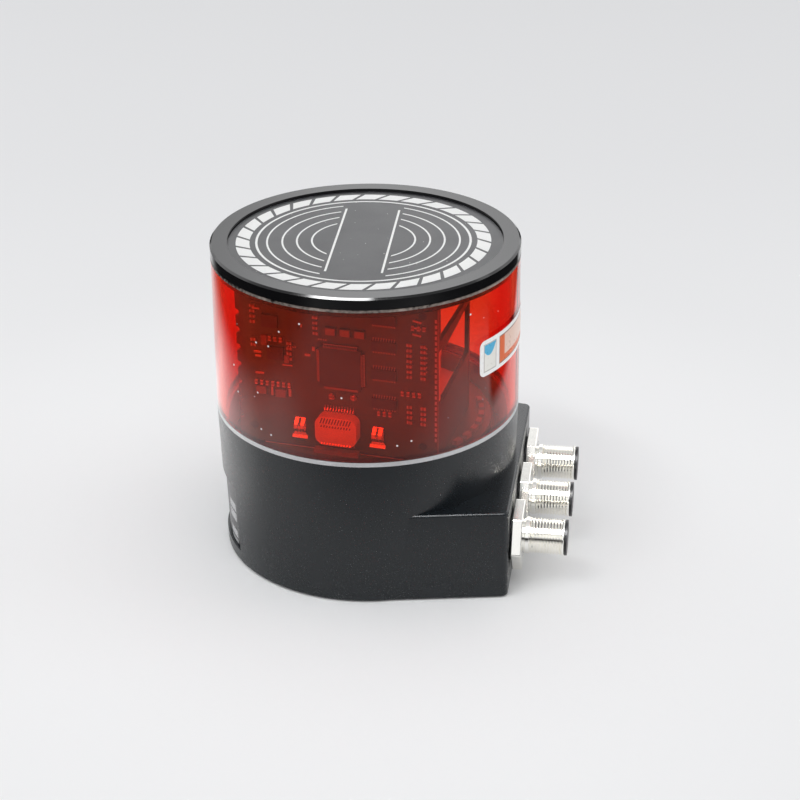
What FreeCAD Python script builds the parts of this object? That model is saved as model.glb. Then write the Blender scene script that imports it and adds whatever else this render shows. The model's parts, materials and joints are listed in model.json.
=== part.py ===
import FreeCAD, Part
import math
import os

# Scanning lidar sensor: a black die-cast base with a connector block, a red window tube, a flat cap, and a
# motor-driven scan head that turns behind the window.
# Frame: Z is the scan axis, the origin is on it at the underside of the base, and +X points out of the
# connectors. Lengths are millimetres, angles degrees.

# Base housing
base_draft = 1.5
base_wall = 4.0
floor_thickness = 5.0
foot_chamfer = 0.6
rim_height = 13.0
deck_ledge = 2.0
register_depth = 1.5

# Connector block
block_overhang = 2.6
block_half_width = 39.0
block_height = 31.0
block_wall = 4.0
block_corner_radius = 2.0
block_edge_radius = 0.8
flank_inset = 0.3

# Pocket and film on the side away from the connectors
pocket_depth = 1.2
pocket_bottom = 4.3
pocket_height = 23.7
pocket_half_angle = 37.0
film_thickness = 0.3
film_margin = 0.4

# Tapped holes in the underside
mount_circle = 68.0
mount_hole_radius = 1.65
mount_hole_depth = 6.0
mount_boss_radius = 4.5
mount_boss_height = 2.5
mount_count = 4
mount_first_angle = 45.0

# Window, its trim ring, cap and seal
window_wall = 2.7
window_draft = 0.25
spigot_thickness = 1.2
spigot_depth = 1.2
trim_height = 1.5
seal_height = 0.8
cap_height = 3.9
cap_chamfer = 0.6
cap_lower_chamfer = 0.3
cap_spigot_wall = 2.0
cap_spigot_depth = 3.0
cap_rim_width = 5.55
recess_depth = 1.3
label_thickness = 0.4
label_margin = 0.2

# Sticker on the window
sticker_start_angle = -36.2
sticker_length = 38.0
sticker_height = 12.2
sticker_base_height = 21.5
sticker_thickness = 0.15
sticker_corner_radius = 2.2

# Panel connectors with an M12 thread
connector_count = 3
connector_pitch = 25.5
connector_height = 15.7
thread_radius = 6.0
thread_length = 12.9
thread_chamfer = 0.5
neck_radius = 5.3
neck_length = 0.5
hex_across_flats = 20.0
hex_thickness = 3.4
hex_turn = 7.0
flange_seal_thickness = 0.5
flange_seal_width = 1.3
panel_thread_radius = 7.0
connector_tail = 9.0
insert_radius = 4.9
insert_face_radius = 5.8
insert_face_thickness = 0.8
contact_count = 4
contact_first_angle = 45.0
contact_circle = 2.6
contact_radius = 0.7
contact_setback = 0.5
nut_across_flats = 17.0
nut_thickness = 3.0
connector_board_thickness = 1.6
connector_board_margin = 1.0

# Main board and the parts on it
board_pillar_radius = 3.0
board_pillar_height = 4.0
main_board_thickness = 1.6
main_board_margin = 1.5
main_board_screw_circle = 76.0
main_board_screw_angles = (60.0, 120.0, 240.0, 300.0)
tall_part_height = 5.0
header_width = 24.0
header_depth = 4.0
header_height = 2.5
processor_size = 14.0
processor_height = 1.5
magnetics_length = 16.0
magnetics_width = 12.0
inductor_size = 12.0
inductor_corner = 2.0
capacitor_radius = 3.0
capacitor_pitch = 8.0
capacitor_count = 3

# Deck, bearings and motor
under_motor_gap = 1.0
bell_floor = 2.5
bell_wall = 1.5
tube_gap = 0.9
tube_length = 14.0
tube_wall = 2.5
deck_thickness = 3.0
deck_screw_count = 4
deck_screw_first_angle = 45.0
deck_screw_inset = 2.5
deck_boss_radius = 4.0
deck_boss_depth = 6.5
shaft_radius = 4.0
bearing_outer_radius = 8.0
bearing_ring_wall = 1.3
bearing_width = 5.0
bearing_shoulder = 1.0
motor_side_gap = 1.0
core_height = 9.0
core_yoke = 3.0
tooth_count = 12
tooth_length = 9.7
tooth_width = 2.4
tooth_tip_width = 7.0
tooth_tip_depth = 1.4
winding_thickness = 1.3
winding_fit = 0.1
air_gap = 0.6
magnet_count = 14
magnet_thickness = 1.7
magnet_gap_angle = 3.0

# Contactless coils and encoder
coil_inner_radius = 13.0
coil_width = 9.0
coil_thickness = 1.5
coil_gap = 0.8
encoder_inner_radius = 30.0
encoder_width = 7.0
encoder_thickness = 0.8
encoder_gap = 0.6
sensor_length = 9.0
sensor_angle = 150.0

# Turntable and the round board on it
turntable_inset = 2.7
turntable_thickness = 3.0
hub_radius = 9.0
hub_air_gap = 0.4
round_board_margin = 1.0
round_board_thickness = 1.6
round_board_hole = 12.0
edge_part_inset = 3.2
edge_part_height = 1.6
side_part_count = 7
side_part_step = 8.0
rear_part_count = 5
rear_part_step = 10.0
rear_part_angle = 90.0

# Upright head board: the board's front face stands board_distance from the axis
head_rest_angle = -8.4
head_clearance = 2.6
board_half_width = 32.2
board_distance = 31.0
board_thickness = 1.6
board_height = 53.0
board_foot_gap = 0.4
head_top_gap = 3.2
notch_radius = 1.1
notch_pitch = 6.0
notch_count = 7
chip_body = 13.4
chip_height = 1.4
chip_lead_span = 15.6
chip_lead_row = 12.0
chip_lead_height = 0.5
small_chip_height = 1.0
passive_length = 1.6
passive_width = 0.9
passive_height = 0.7
passive_pitch = 1.8
plug_width = 13.5
plug_depth = 4.2
plug_height = 10.0
plug_corner = 3.0
clip_width = 5.2
clip_waist = 3.4
clip_height = 7.0
clip_foot = 2.1
clip_depth = 2.6
clip_groove = 0.8
clip_gap = 3.4
strip_length = 14.5
strip_width = 2.2
strip_height = 1.6
strip_gap = 0.6

# Layout of the upright board. Places are shares of its half width, left to right, and of its height.
processor_share = (0.05, 0.56)
plug_share = (0.02, 0.165)
clip_level_share = 0.065
column_chip_width = 7.8
column_chip_height = 3.4
column_chip_shares = ((0.48, 0.90), (0.48, 0.73), (0.48, 0.55), (0.48, 0.36))
left_chip_width = 5.2
left_chip_height = 4.2
left_chip_shares = ((-0.66, 0.81), (-0.61, 0.605))
square_chip_width = 3.4
square_chip_height = 2.6
square_chip_shares = ((-0.045, 0.79), (0.10, 0.79), (0.245, 0.79))
# Rows of small parts. A column has its share across, then its two ends upwards. A row has its share
# upwards, then its two ends across.
passive_column_shares = ((0.73, 0.55, 0.76), (0.73, 0.25, 0.36), (0.865, 0.55, 0.76), (0.865, 0.25, 0.36),
                         (-0.83, 0.79, 0.90), (-0.83, 0.64, 0.68), (-0.47, 0.575, 0.68), (-0.20, 0.76, 0.87))
passive_row_shares = ((0.695, -0.67, -0.55), (0.40, -0.82, -0.48), (0.36, -0.06, -0.06), (0.37, 0.17, 0.17),
                      (0.29, 0.42, 0.54), (0.87, 0.76, 0.88), (0.44, 0.66, 0.83))

# Optics bracket: base plate, carrier wall with two bores, and an open frame on each side
plate_thickness = 3.0
frame_wall = 1.4
frame_inset = 0.4
frame_depth = 41.0
frame_low_height = 18.6
frame_low_rise = 2.3
frame_rail_top = 40.6
frame_rail_height = 5.2
frame_rail_tip = 1.8
frame_upright = 1.6
front_post = 3.4
lug_size = 5.6
lug_depth = 4.0
bracket_screw_inset = 5.5
bracket_screw_front = -13.8
bracket_screw_back = 5.5
carrier_thickness = 4.0
carrier_side = 1.0
carrier_edge = 2.0
gusset_depth = 14.0
gusset_wall = 2.0
receiver_radius = 12.5
receiver_length = 28.0
receiver_x = -4.0
emitter_radius = 6.0
emitter_length = 26.0
barrel_wall = 1.5
barrel_flange = 2.5
barrel_flange_thickness = 2.0
barrel_gap = 0.8
lens_edge = 2.0
lens_bulge = 2.0
lens_setback = 0.6
detector_radius = 2.5
detector_length = 3.0
optics_board_thickness = 1.6
optics_board_margin = 1.0
weight_length = 16.0
weight_width = 8.0
weight_height = 5.6

# Screws and fits
small_screw_radius = 1.25
small_head_radius = 2.3
small_head_height = 1.3
screw_radius = 1.5
head_radius = 2.75
head_height = 1.8
screw_grip = 4.0
drive_depth = 0.8
slip_fit = 0.15
screw_fit = 0.05

# Heights that follow from the stack
main_board_bottom = floor_thickness + board_pillar_height
main_board_top = main_board_bottom + main_board_thickness
bell_bottom = main_board_top + tall_part_height + under_motor_gap
bell_inside = bell_bottom + bell_floor
tube_bottom = bell_inside + tube_gap
deck_bottom = tube_bottom + tube_length
deck_top = deck_bottom + deck_thickness
base_height = deck_top + rim_height
turntable_bottom = deck_top + coil_thickness + coil_gap + coil_thickness
turntable_top = turntable_bottom + turntable_thickness
round_board_top = turntable_top + round_board_thickness
head_board_bottom = round_board_top + board_foot_gap
head_board_top = head_board_bottom + board_height
trim_top = base_height + trim_height
window_top = head_board_top + head_top_gap
cap_bottom = window_top + seal_height
cap_top = cap_bottom + cap_height
recess_floor = cap_top - recess_depth
plate_top = round_board_top + plate_thickness
receiver_axis = plate_top + barrel_gap + receiver_radius + barrel_flange
emitter_axis = receiver_axis + receiver_radius + emitter_radius + 2 * barrel_flange + barrel_gap
carrier_top = emitter_axis + emitter_radius + carrier_edge
gusset_top = receiver_axis - (receiver_radius + barrel_flange) / 2

# Radii that follow from the head's swing
head_swing = math.hypot(board_half_width, board_distance)
window_inner = head_swing + head_clearance
window_outer = window_inner + window_wall
spigot_outer = window_inner + spigot_thickness
register_radius = spigot_outer + slip_fit
base_top_radius = window_outer
base_foot_radius = base_top_radius - base_draft
cavity_radius = base_foot_radius - base_wall
upper_cavity_radius = cavity_radius + deck_ledge
cap_radius = window_outer - window_draft
recess_radius = cap_radius - cap_rim_width
deck_radius = upper_cavity_radius - slip_fit
deck_screw_circle = cavity_radius - deck_screw_inset
tube_outer = bearing_outer_radius + tube_wall
core_outer = tube_outer + core_yoke + tooth_length
magnet_inner = core_outer + air_gap
bell_inner = magnet_inner + magnet_thickness
bell_outer = bell_inner + bell_wall
turntable_radius = head_swing - turntable_inset
round_board_radius = turntable_radius - round_board_margin
board_back = board_thickness - board_distance

# Places along the connector axis
block_reach = base_foot_radius + block_overhang
panel_inside = block_reach - block_wall
nut_inside = panel_inside - nut_thickness
connector_back = panel_inside - connector_tail
connector_board_back = connector_back - connector_board_thickness
hex_start = block_reach + flange_seal_thickness
neck_start = hex_start + hex_thickness
thread_start = neck_start + neck_length
thread_end = thread_start + thread_length
insert_end = thread_end + insert_face_thickness

ORIGIN = FreeCAD.Vector(0, 0, 0)
AXIS_X = FreeCAD.Vector(1, 0, 0)
AXIS_Y = FreeCAD.Vector(0, 1, 0)
AXIS_Z = FreeCAD.Vector(0, 0, 1)
OVERCUT = 1.0
FULL_TURN = 360.0


def point(x, y, z):
    return FreeCAD.Vector(x, y, z)


def box(x0, x1, y0, y1, z0, z1):
    return Part.makeBox(x1 - x0, y1 - y0, z1 - z0, point(x0, y0, z0))


def cylinder(radius, z0, z1, x=0.0, y=0.0):
    return Part.makeCylinder(radius, z1 - z0, point(x, y, z0), AXIS_Z)


def ring(inner, outer, z0, z1):
    return cylinder(outer, z0, z1).cut(cylinder(inner, z0 - OVERCUT, z1 + OVERCUT))


def rod(radius, start, end, axis):
    return Part.makeCylinder(radius, (end - start).Length, start, axis)


def face_of(points):
    return Part.Face(Part.makePolygon(points + points[:1]))


def turned(profile, angle=FULL_TURN):
    """Revolve a list of (radius, height) points about Z."""
    return face_of([point(r, 0, z) for r, z in profile]).revolve(ORIGIN, AXIS_Z, angle)


def turned_about_x(profile, y, z):
    """Revolve a list of (place along X, radius) points about a line along X."""
    return face_of([point(x, y, z + r) for x, r in profile]).revolve(point(0, y, z), AXIS_X, FULL_TURN)


def turned_about_y(profile, x, z):
    """Revolve a list of (place along Y, radius) points about a line along Y."""
    return face_of([point(x, y, z + r) for y, r in profile]).revolve(point(x, 0, z), AXIS_Y, FULL_TURN)


def prism(points, z0, z1):
    return face_of([point(x, y, z0) for x, y in points]).extrude(point(0, 0, z1 - z0))


def hexagon_along_x(across_flats, x0, x1, y, z, turn=0.0):
    corners = [on_circle(across_flats / math.sqrt(3.0), angle) for angle in evenly(6, turn)]
    return face_of([point(x0, y + a, z + b) for a, b in corners]).extrude(point(x1 - x0, 0, 0))


def edges_along(shape, axis):
    """Straight edges that run along an axis."""
    found = []
    for edge in shape.Edges:
        step = edge.Vertexes[-1].Point - edge.Vertexes[0].Point
        if step.Length > 0 and abs(abs(step.normalize().dot(axis)) - 1) < 1e-6:
            found.append(edge)
    return found


def rounded(shape, radius, axis):
    return shape.makeFillet(radius, edges_along(shape, axis))


def on_circle(radius, angle):
    turn = math.radians(angle)
    return radius * math.cos(turn), radius * math.sin(turn)


def evenly(count, first=0.0):
    return [first + k * FULL_TURN / count for k in range(count)]


def in_a_row(count, step, middle=0.0):
    """Places in a row, a step apart, centred on a middle."""
    return [middle + (k - (count - 1) / 2) * step for k in range(count)]


def spun(shape, angle):
    copy = shape.copy()
    copy.rotate(ORIGIN, AXIS_Z, angle)
    return copy


def fused(pieces):
    whole = pieces[0].multiFuse(pieces[1:])
    return whole.removeSplitter()


def base_radius(z):
    return base_foot_radius + base_draft * z / base_height


def window_radius(z):
    return window_outer - window_draft * (z - trim_top) / (window_top - trim_top)


def connector_places():
    return in_a_row(connector_count, connector_pitch)


def contact_places(y):
    spots = [on_circle(contact_circle, angle) for angle in evenly(contact_count, contact_first_angle)]
    return [(y + a, connector_height + b) for a, b in spots]


def block_outline(inset):
    """Corners of the connector block, moved in by a wall; its flanks leave the base almost tangentially."""
    flank_radius = base_foot_radius - flank_inset
    corner_distance = math.hypot(block_reach, block_half_width)
    lean = math.atan2(block_half_width, block_reach) + math.acos(flank_radius / corner_distance)
    start_x = (flank_radius - inset) * math.cos(lean)
    start_y = (flank_radius - inset) * math.sin(lean)
    reach = block_reach - inset
    end_y = start_y - (reach - start_x) / math.tan(lean)
    return [(start_x, -start_y), (reach, -end_y), (reach, end_y), (start_x, start_y)]


def connector_block():
    block = prism(block_outline(0.0), 0, block_height)
    corners = [e for e in edges_along(block, AXIS_Z) if e.Vertexes[0].Point.x > block_reach - OVERCUT]
    block = block.makeFillet(block_corner_radius, corners)
    flank_start = block_outline(0.0)[0][0]
    top = [e for e in block.Edges if min(v.Point.z for v in e.Vertexes) > block_height - OVERCUT
           and max(v.Point.x for v in e.Vertexes) > flank_start + OVERCUT]
    block = block.makeFillet(block_edge_radius, top)
    foot = [e for e in block.Edges if max(v.Point.z for v in e.Vertexes) < OVERCUT
            and max(v.Point.x for v in e.Vertexes) > flank_start + OVERCUT]
    return block.makeChamfer(foot_chamfer, foot)


def pocket_band(depth, outer, bottom, top, half_angle):
    """A curved slab on the drafted wall, centred on the side away from the connectors."""
    band = turned([(base_radius(bottom) - depth, bottom), (base_radius(bottom) + outer, bottom),
                   (base_radius(top) + outer, top), (base_radius(top) - depth, top)], 2 * half_angle)
    return spun(band, 180.0 - half_angle)


def base_housing():
    chamfered_radius = base_radius(foot_chamfer)
    cup = turned([(0, 0), (base_foot_radius - foot_chamfer, 0), (chamfered_radius, foot_chamfer),
                  (base_top_radius, base_height), (0, base_height)])
    shell = cup.fuse(connector_block())
    register_floor = base_height - register_depth
    room = turned([(0, floor_thickness), (cavity_radius, floor_thickness), (cavity_radius, deck_bottom),
                   (upper_cavity_radius, deck_bottom), (upper_cavity_radius, register_floor),
                   (register_radius, register_floor), (register_radius, base_height + OVERCUT),
                   (0, base_height + OVERCUT)])
    block_room = prism(block_outline(block_wall), floor_thickness, block_height - block_wall)
    shell = shell.cut(room.fuse(block_room))
    shell = shell.cut(pocket_band(pocket_depth, OVERCUT, pocket_bottom, pocket_bottom + pocket_height,
                                  pocket_half_angle))
    added = [shell]
    holes = []
    for angle in evenly(mount_count, mount_first_angle):
        x, y = on_circle(mount_circle / 2, angle)
        boss_top = floor_thickness + mount_boss_height
        added.append(cylinder(mount_boss_radius, floor_thickness / 2, boss_top, x, y))
        holes.append(cylinder(mount_hole_radius, -OVERCUT, mount_hole_depth, x, y))
    for angle in main_board_screw_angles:
        x, y = on_circle(main_board_screw_circle / 2, angle)
        added.append(cylinder(board_pillar_radius, floor_thickness / 2, main_board_bottom, x, y))
        holes.append(cylinder(small_screw_radius + screw_fit, floor_thickness, main_board_bottom + OVERCUT,
                              x, y))
    for x, y in deck_spots():
        added.append(cylinder(deck_boss_radius, deck_bottom - deck_boss_depth, deck_bottom, x, y))
        holes.append(cylinder(screw_radius + screw_fit, deck_bottom - screw_grip - screw_fit,
                              deck_bottom + OVERCUT, x, y))
    for y in connector_places():
        holes.append(rod(panel_thread_radius + slip_fit, point(connector_back, y, connector_height),
                         point(block_reach + OVERCUT, y, connector_height), AXIS_X))
    return fused(added).cut(Part.makeCompound(holes))


def nameplate():
    margin_angle = math.degrees(film_margin / base_foot_radius)
    return pocket_band(pocket_depth, film_thickness - pocket_depth, pocket_bottom + film_margin,
                       pocket_bottom + pocket_height - film_margin, pocket_half_angle - margin_angle)


def window():
    return turned([(window_inner, base_height - spigot_depth), (spigot_outer, base_height - spigot_depth),
                   (spigot_outer, trim_top), (window_outer, trim_top), (cap_radius, window_top),
                   (window_inner - window_draft, window_top), (window_inner, trim_top)])


def top_cap():
    spigot_radius = window_inner - window_draft - slip_fit
    spigot_inside = spigot_radius - cap_spigot_wall
    spigot_foot = cap_bottom - cap_spigot_depth
    return turned([(0, cap_bottom), (spigot_inside, cap_bottom), (spigot_inside, spigot_foot),
                   (spigot_radius, spigot_foot), (spigot_radius, cap_bottom),
                   (cap_radius - cap_lower_chamfer, cap_bottom), (cap_radius, cap_bottom + cap_lower_chamfer),
                   (cap_radius, cap_top - cap_chamfer), (cap_radius - cap_chamfer, cap_top),
                   (recess_radius, cap_top), (recess_radius, recess_floor), (0, recess_floor)])


def window_sticker():
    bottom = trim_top + sticker_base_height
    top = bottom + sticker_height
    sweep = math.degrees(sticker_length / window_radius(bottom))
    band = turned([(window_radius(bottom), bottom), (window_radius(bottom) + sticker_thickness, bottom),
                   (window_radius(top) + sticker_thickness, top), (window_radius(top), top)], sweep)
    corners = [e for e in band.Edges if e.Length < 2 * sticker_thickness]
    return spun(band.makeFillet(sticker_corner_radius, corners), sticker_start_angle)


def connector_shell(y):
    profile = [(connector_back, 0), (connector_back, panel_thread_radius), (neck_start, panel_thread_radius),
               (neck_start, neck_radius), (thread_start, neck_radius), (thread_start, thread_radius),
               (thread_end - thread_chamfer, thread_radius), (thread_end, thread_radius - thread_chamfer),
               (thread_end, 0)]
    body = turned_about_x(profile, y, connector_height)
    flange = hexagon_along_x(hex_across_flats, hex_start, neck_start, y, connector_height, hex_turn)
    bore = rod(insert_radius + screw_fit, point(connector_back - OVERCUT, y, connector_height),
               point(thread_end + OVERCUT, y, connector_height), AXIS_X)
    return body.fuse(flange).removeSplitter().cut(bore)


def connector_insert(y):
    body = turned_about_x([(connector_back, 0), (connector_back, insert_radius), (thread_end, insert_radius),
                           (thread_end, insert_face_radius), (insert_end, insert_face_radius),
                           (insert_end, 0)], y, connector_height)
    holes = [rod(contact_radius + screw_fit, point(connector_back - OVERCUT, a, b),
                 point(insert_end + OVERCUT, a, b), AXIS_X) for a, b in contact_places(y)]
    return body.cut(Part.makeCompound(holes))


def connector_contacts():
    pins = []
    for y in connector_places():
        for a, b in contact_places(y):
            pins.append(rod(contact_radius, point(connector_board_back, a, b),
                            point(insert_end - contact_setback, a, b), AXIS_X))
    return Part.makeCompound(pins)


def connector_seals():
    rings = []
    for y in connector_places():
        start = point(block_reach, y, connector_height)
        end = point(hex_start, y, connector_height)
        outer = rod(panel_thread_radius + flange_seal_width, start, end, AXIS_X)
        rings.append(outer.cut(rod(panel_thread_radius + screw_fit, start, end, AXIS_X)))
    return Part.makeCompound(rings)


def connector_lock_nuts():
    nuts = []
    for y in connector_places():
        nut = hexagon_along_x(nut_across_flats, nut_inside, panel_inside, y, connector_height)
        bore = rod(panel_thread_radius + screw_fit, point(nut_inside, y, connector_height),
                   point(panel_inside, y, connector_height), AXIS_X)
        nuts.append(nut.cut(bore))
    return Part.makeCompound(nuts)


def connector_board():
    half_width = block_half_width - block_wall - connector_board_margin
    board = box(connector_board_back, connector_back, -half_width, half_width,
                floor_thickness + connector_board_margin, block_height - block_wall - connector_board_margin)
    holes = []
    for y in connector_places():
        for a, b in contact_places(y):
            holes.append(rod(contact_radius + screw_fit, point(connector_board_back - OVERCUT, a, b),
                             point(connector_back + OVERCUT, a, b), AXIS_X))
    return board.cut(Part.makeCompound(holes))


def main_board():
    edge = connector_board_back - connector_board_margin
    radius = cavity_radius - main_board_margin
    board = cylinder(radius, main_board_bottom, main_board_top)
    board = board.cut(box(edge, radius + OVERCUT, -radius, radius, 0, base_height))
    holes = []
    for angle in main_board_screw_angles:
        x, y = on_circle(main_board_screw_circle / 2, angle)
        holes.append(cylinder(small_screw_radius + screw_fit, main_board_bottom - OVERCUT,
                              main_board_top + OVERCUT, x, y))
    return board.cut(Part.makeCompound(holes))


def board_link_header():
    half_width = header_width / 2
    return box(connector_board_back - header_depth, connector_board_back, -half_width, half_width,
               main_board_top, main_board_top + header_height)


def block_on_main_board(x, y, length, width, height):
    return box(x - length / 2, x + length / 2, y - width / 2, y + width / 2, main_board_top,
               main_board_top + height)


def power_capacitors():
    inductor_edge = -inductor_size - inductor_size / 2
    row_y = inductor_edge - capacitor_radius - main_board_margin
    top = main_board_top + tall_part_height
    return Part.makeCompound([cylinder(capacitor_radius, main_board_top, top, x, row_y)
                              for x in in_a_row(capacitor_count, capacitor_pitch)])


def screw(shank, grip, head, cap, x, y, seat):
    """A pan-head screw pointing down, with its head on a seat, and a hexagon drive."""
    body = cylinder(shank, seat - grip, seat, x, y).fuse(cylinder(head, seat, seat + cap, x, y))
    spots = [point(x + shank * math.cos(k * math.pi / 3), y + shank * math.sin(k * math.pi / 3),
                   seat + cap - drive_depth) for k in range(6)]
    return body.removeSplitter().cut(face_of(spots).extrude(point(0, 0, drive_depth + OVERCUT)))


def main_board_screws():
    grip = main_board_thickness + board_pillar_height - drive_depth
    spots = [on_circle(main_board_screw_circle / 2, angle) for angle in main_board_screw_angles]
    return Part.makeCompound([screw(small_screw_radius, grip, small_head_radius, small_head_height, x, y,
                                    main_board_top) for x, y in spots])


def deck_spots():
    return [on_circle(deck_screw_circle, angle) for angle in evenly(deck_screw_count, deck_screw_first_angle)]


def deck_plate():
    bore = bearing_outer_radius - bearing_shoulder
    deck = turned([(bearing_outer_radius, tube_bottom), (tube_outer, tube_bottom), (tube_outer, deck_bottom),
                   (deck_radius, deck_bottom), (deck_radius, deck_top), (bearing_outer_radius, deck_top),
                   (bearing_outer_radius, deck_top - bearing_width), (bore, deck_top - bearing_width),
                   (bore, tube_bottom + bearing_width), (bearing_outer_radius, tube_bottom + bearing_width)])
    holes = [cylinder(screw_radius + screw_fit, deck_bottom - OVERCUT, deck_top + OVERCUT, x, y)
             for x, y in deck_spots()]
    return deck.cut(Part.makeCompound(holes))


def deck_screws():
    return Part.makeCompound([screw(screw_radius, deck_thickness + screw_grip, head_radius, head_height, x, y,
                                    deck_top) for x, y in deck_spots()])


def bearing_outer(bottom):
    race = bearing_outer_radius - bearing_ring_wall
    return ring(race, bearing_outer_radius, bottom, bottom + bearing_width)


def bearing_inner(bottom):
    return ring(shaft_radius, shaft_radius + bearing_ring_wall, bottom, bottom + bearing_width)


def core_bottom():
    return (bell_inside + deck_bottom - core_height) / 2


def motor_stator():
    bottom = core_bottom()
    top = bottom + core_height
    half_tooth = tooth_width / 2
    half_tip = tooth_tip_width / 2
    yoke = ring(tube_outer, tube_outer + core_yoke, bottom, top)
    tip_start = core_outer - tooth_tip_depth
    tooth = box(tube_outer + core_yoke / 2, tip_start + tooth_tip_depth / 2, -half_tooth, half_tooth,
                bottom, top)
    tip = box(tip_start, core_outer + OVERCUT, -half_tip, half_tip, bottom, top)
    tooth = tooth.fuse(tip).common(cylinder(core_outer, bottom, top))
    return fused([yoke] + [spun(tooth, angle) for angle in evenly(tooth_count)])


def motor_windings():
    bottom = core_bottom()
    start = tube_outer + core_yoke + winding_thickness
    end = core_outer - tooth_tip_depth - winding_fit
    inside = tooth_width / 2 + winding_fit
    outside = inside + winding_thickness
    top = bottom + core_height
    coil = box(start, end, -outside, outside, bottom - winding_thickness, top + winding_thickness)
    coil = coil.cut(box(start, end, -inside, inside, bottom - winding_fit, top + winding_fit))
    return Part.makeCompound([spun(coil, angle) for angle in evenly(tooth_count)])


def motor_bell():
    top = deck_bottom - motor_side_gap
    hub = shaft_radius + bearing_ring_wall
    return turned([(shaft_radius, bell_bottom), (bell_outer, bell_bottom), (bell_outer, top),
                   (bell_inner, top), (bell_inner, bell_inside), (hub, bell_inside), (hub, tube_bottom),
                   (shaft_radius, tube_bottom)])


def motor_magnets():
    step = FULL_TURN / magnet_count
    profile = [(magnet_inner, bell_inside), (bell_inner, bell_inside),
               (bell_inner, deck_bottom - motor_side_gap), (magnet_inner, deck_bottom - motor_side_gap)]
    magnet = turned(profile, step - magnet_gap_angle)
    return Part.makeCompound([spun(magnet, angle) for angle in evenly(magnet_count)])


def encoder_sensor():
    top = turntable_bottom - encoder_thickness - encoder_gap
    block = box(encoder_inner_radius, encoder_inner_radius + encoder_width, -sensor_length / 2,
                sensor_length / 2, deck_top, top)
    return spun(block, sensor_angle)


def bracket_screw_spots():
    side = board_half_width - frame_inset - frame_wall - bracket_screw_inset
    return [(x, y) for x in (-side, side) for y in (bracket_screw_front, bracket_screw_back)]


def turntable():
    hub_foot = deck_top + hub_air_gap
    neck = shaft_radius + bearing_ring_wall
    disc = turned([(shaft_radius, deck_top), (neck, deck_top), (neck, hub_foot), (hub_radius, hub_foot),
                   (hub_radius, turntable_bottom), (turntable_radius, turntable_bottom),
                   (turntable_radius, turntable_top), (shaft_radius, turntable_top)])
    holes = [cylinder(screw_radius + screw_fit, turntable_bottom + screw_fit, turntable_top + OVERCUT, x, y)
             for x, y in bracket_screw_spots()]
    return disc.cut(Part.makeCompound(holes))


def round_board():
    board = ring(round_board_hole, round_board_radius, turntable_top, round_board_top)
    holes = [cylinder(screw_radius + screw_fit, turntable_top - OVERCUT, round_board_top + OVERCUT, x, y)
             for x, y in bracket_screw_spots()]
    return board.cut(Part.makeCompound(holes))


def round_board_parts():
    """Small parts along the outer edge of the round board, clear of the bracket's plate."""
    radius = round_board_radius - edge_part_inset
    tall = box(radius - passive_width, radius + passive_width, -passive_length, passive_length,
               round_board_top, round_board_top + edge_part_height)
    flat = box(radius - passive_length, radius + passive_length, -passive_width, passive_width,
               round_board_top, round_board_top + passive_height)
    parts = [spun(tall, angle) for angle in in_a_row(side_part_count, side_part_step)]
    parts += [spun(flat, angle) for angle in in_a_row(rear_part_count, rear_part_step, rear_part_angle)]
    return Part.makeCompound(parts)


def strip_socket():
    """Low flat socket on the round board, just in front of the upright board's foot."""
    back = -board_distance - strip_gap
    return box(-strip_length / 2, strip_length / 2, back - strip_width, back, round_board_top,
               round_board_top + strip_height)


def board_x(share):
    return share * board_half_width


def board_z(share):
    return head_board_bottom + share * board_height


def on_board(x, z, width, height, depth):
    """A block on the front of the upright board, centred at x and z."""
    return box(x - width / 2, x + width / 2, -board_distance - depth, -board_distance, z - height / 2,
               z + height / 2)


def chips_on_board(shares, width, height):
    return [on_board(board_x(x), board_z(z), width, height, small_chip_height) for x, z in shares]


def filled_row(first, last):
    """Places from first to last, about a passive pitch apart."""
    count = 1 + round((last - first) / passive_pitch)
    return in_a_row(count, passive_pitch, (first + last) / 2)


def head_screw_spots():
    """Two screws low and two high, far enough in for their heads to stand beside the side frames."""
    side = board_half_width - frame_inset - frame_wall - lug_size / 2
    low = plate_top + lug_size / 2
    high = head_board_top - lug_size / 2
    return [(-side, low), (side, low), (-side, high), (side, high)]


def head_board():
    board = box(-board_half_width, board_half_width, -board_distance, board_back, head_board_bottom,
                head_board_top)
    cuts = []
    for z in in_a_row(notch_count, notch_pitch, (head_board_bottom + head_board_top) / 2):
        cuts.append(rod(notch_radius, point(-board_half_width, -board_distance - OVERCUT, z),
                        point(-board_half_width, board_back + OVERCUT, z), AXIS_Y))
    for x, z in head_screw_spots():
        cuts.append(rod(small_screw_radius + screw_fit, point(x, -board_distance - OVERCUT, z),
                        point(x, board_back + OVERCUT, z), AXIS_Y))
    return board.cut(Part.makeCompound(cuts))


def head_screws():
    """Screws from behind the lugs, whose ends are flush with the front of the board."""
    made = []
    seat = board_back + lug_depth
    for x, z in head_screw_spots():
        shank = rod(small_screw_radius, point(x, -board_distance, z), point(x, seat, z), AXIS_Y)
        head = rod(small_head_radius, point(x, seat, z), point(x, seat + small_head_height, z), AXIS_Y)
        made.append(shank.fuse(head).removeSplitter())
    return Part.makeCompound(made)


def head_processor():
    x = board_x(processor_share[0])
    z = board_z(processor_share[1])
    body = on_board(x, z, chip_body, chip_body, chip_height)
    side_leads = on_board(x, z, chip_lead_span, chip_lead_row, chip_lead_height)
    end_leads = on_board(x, z, chip_lead_row, chip_lead_span, chip_lead_height)
    return fused([body, side_leads, end_leads])


def head_chips():
    """Flat packages: a column beside the processor, two on the left half, and a row of squares."""
    chips = chips_on_board(column_chip_shares, column_chip_width, column_chip_height)
    chips += chips_on_board(left_chip_shares, left_chip_width, left_chip_height)
    chips += chips_on_board(square_chip_shares, square_chip_width, square_chip_height)
    return Part.makeCompound(chips)


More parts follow.
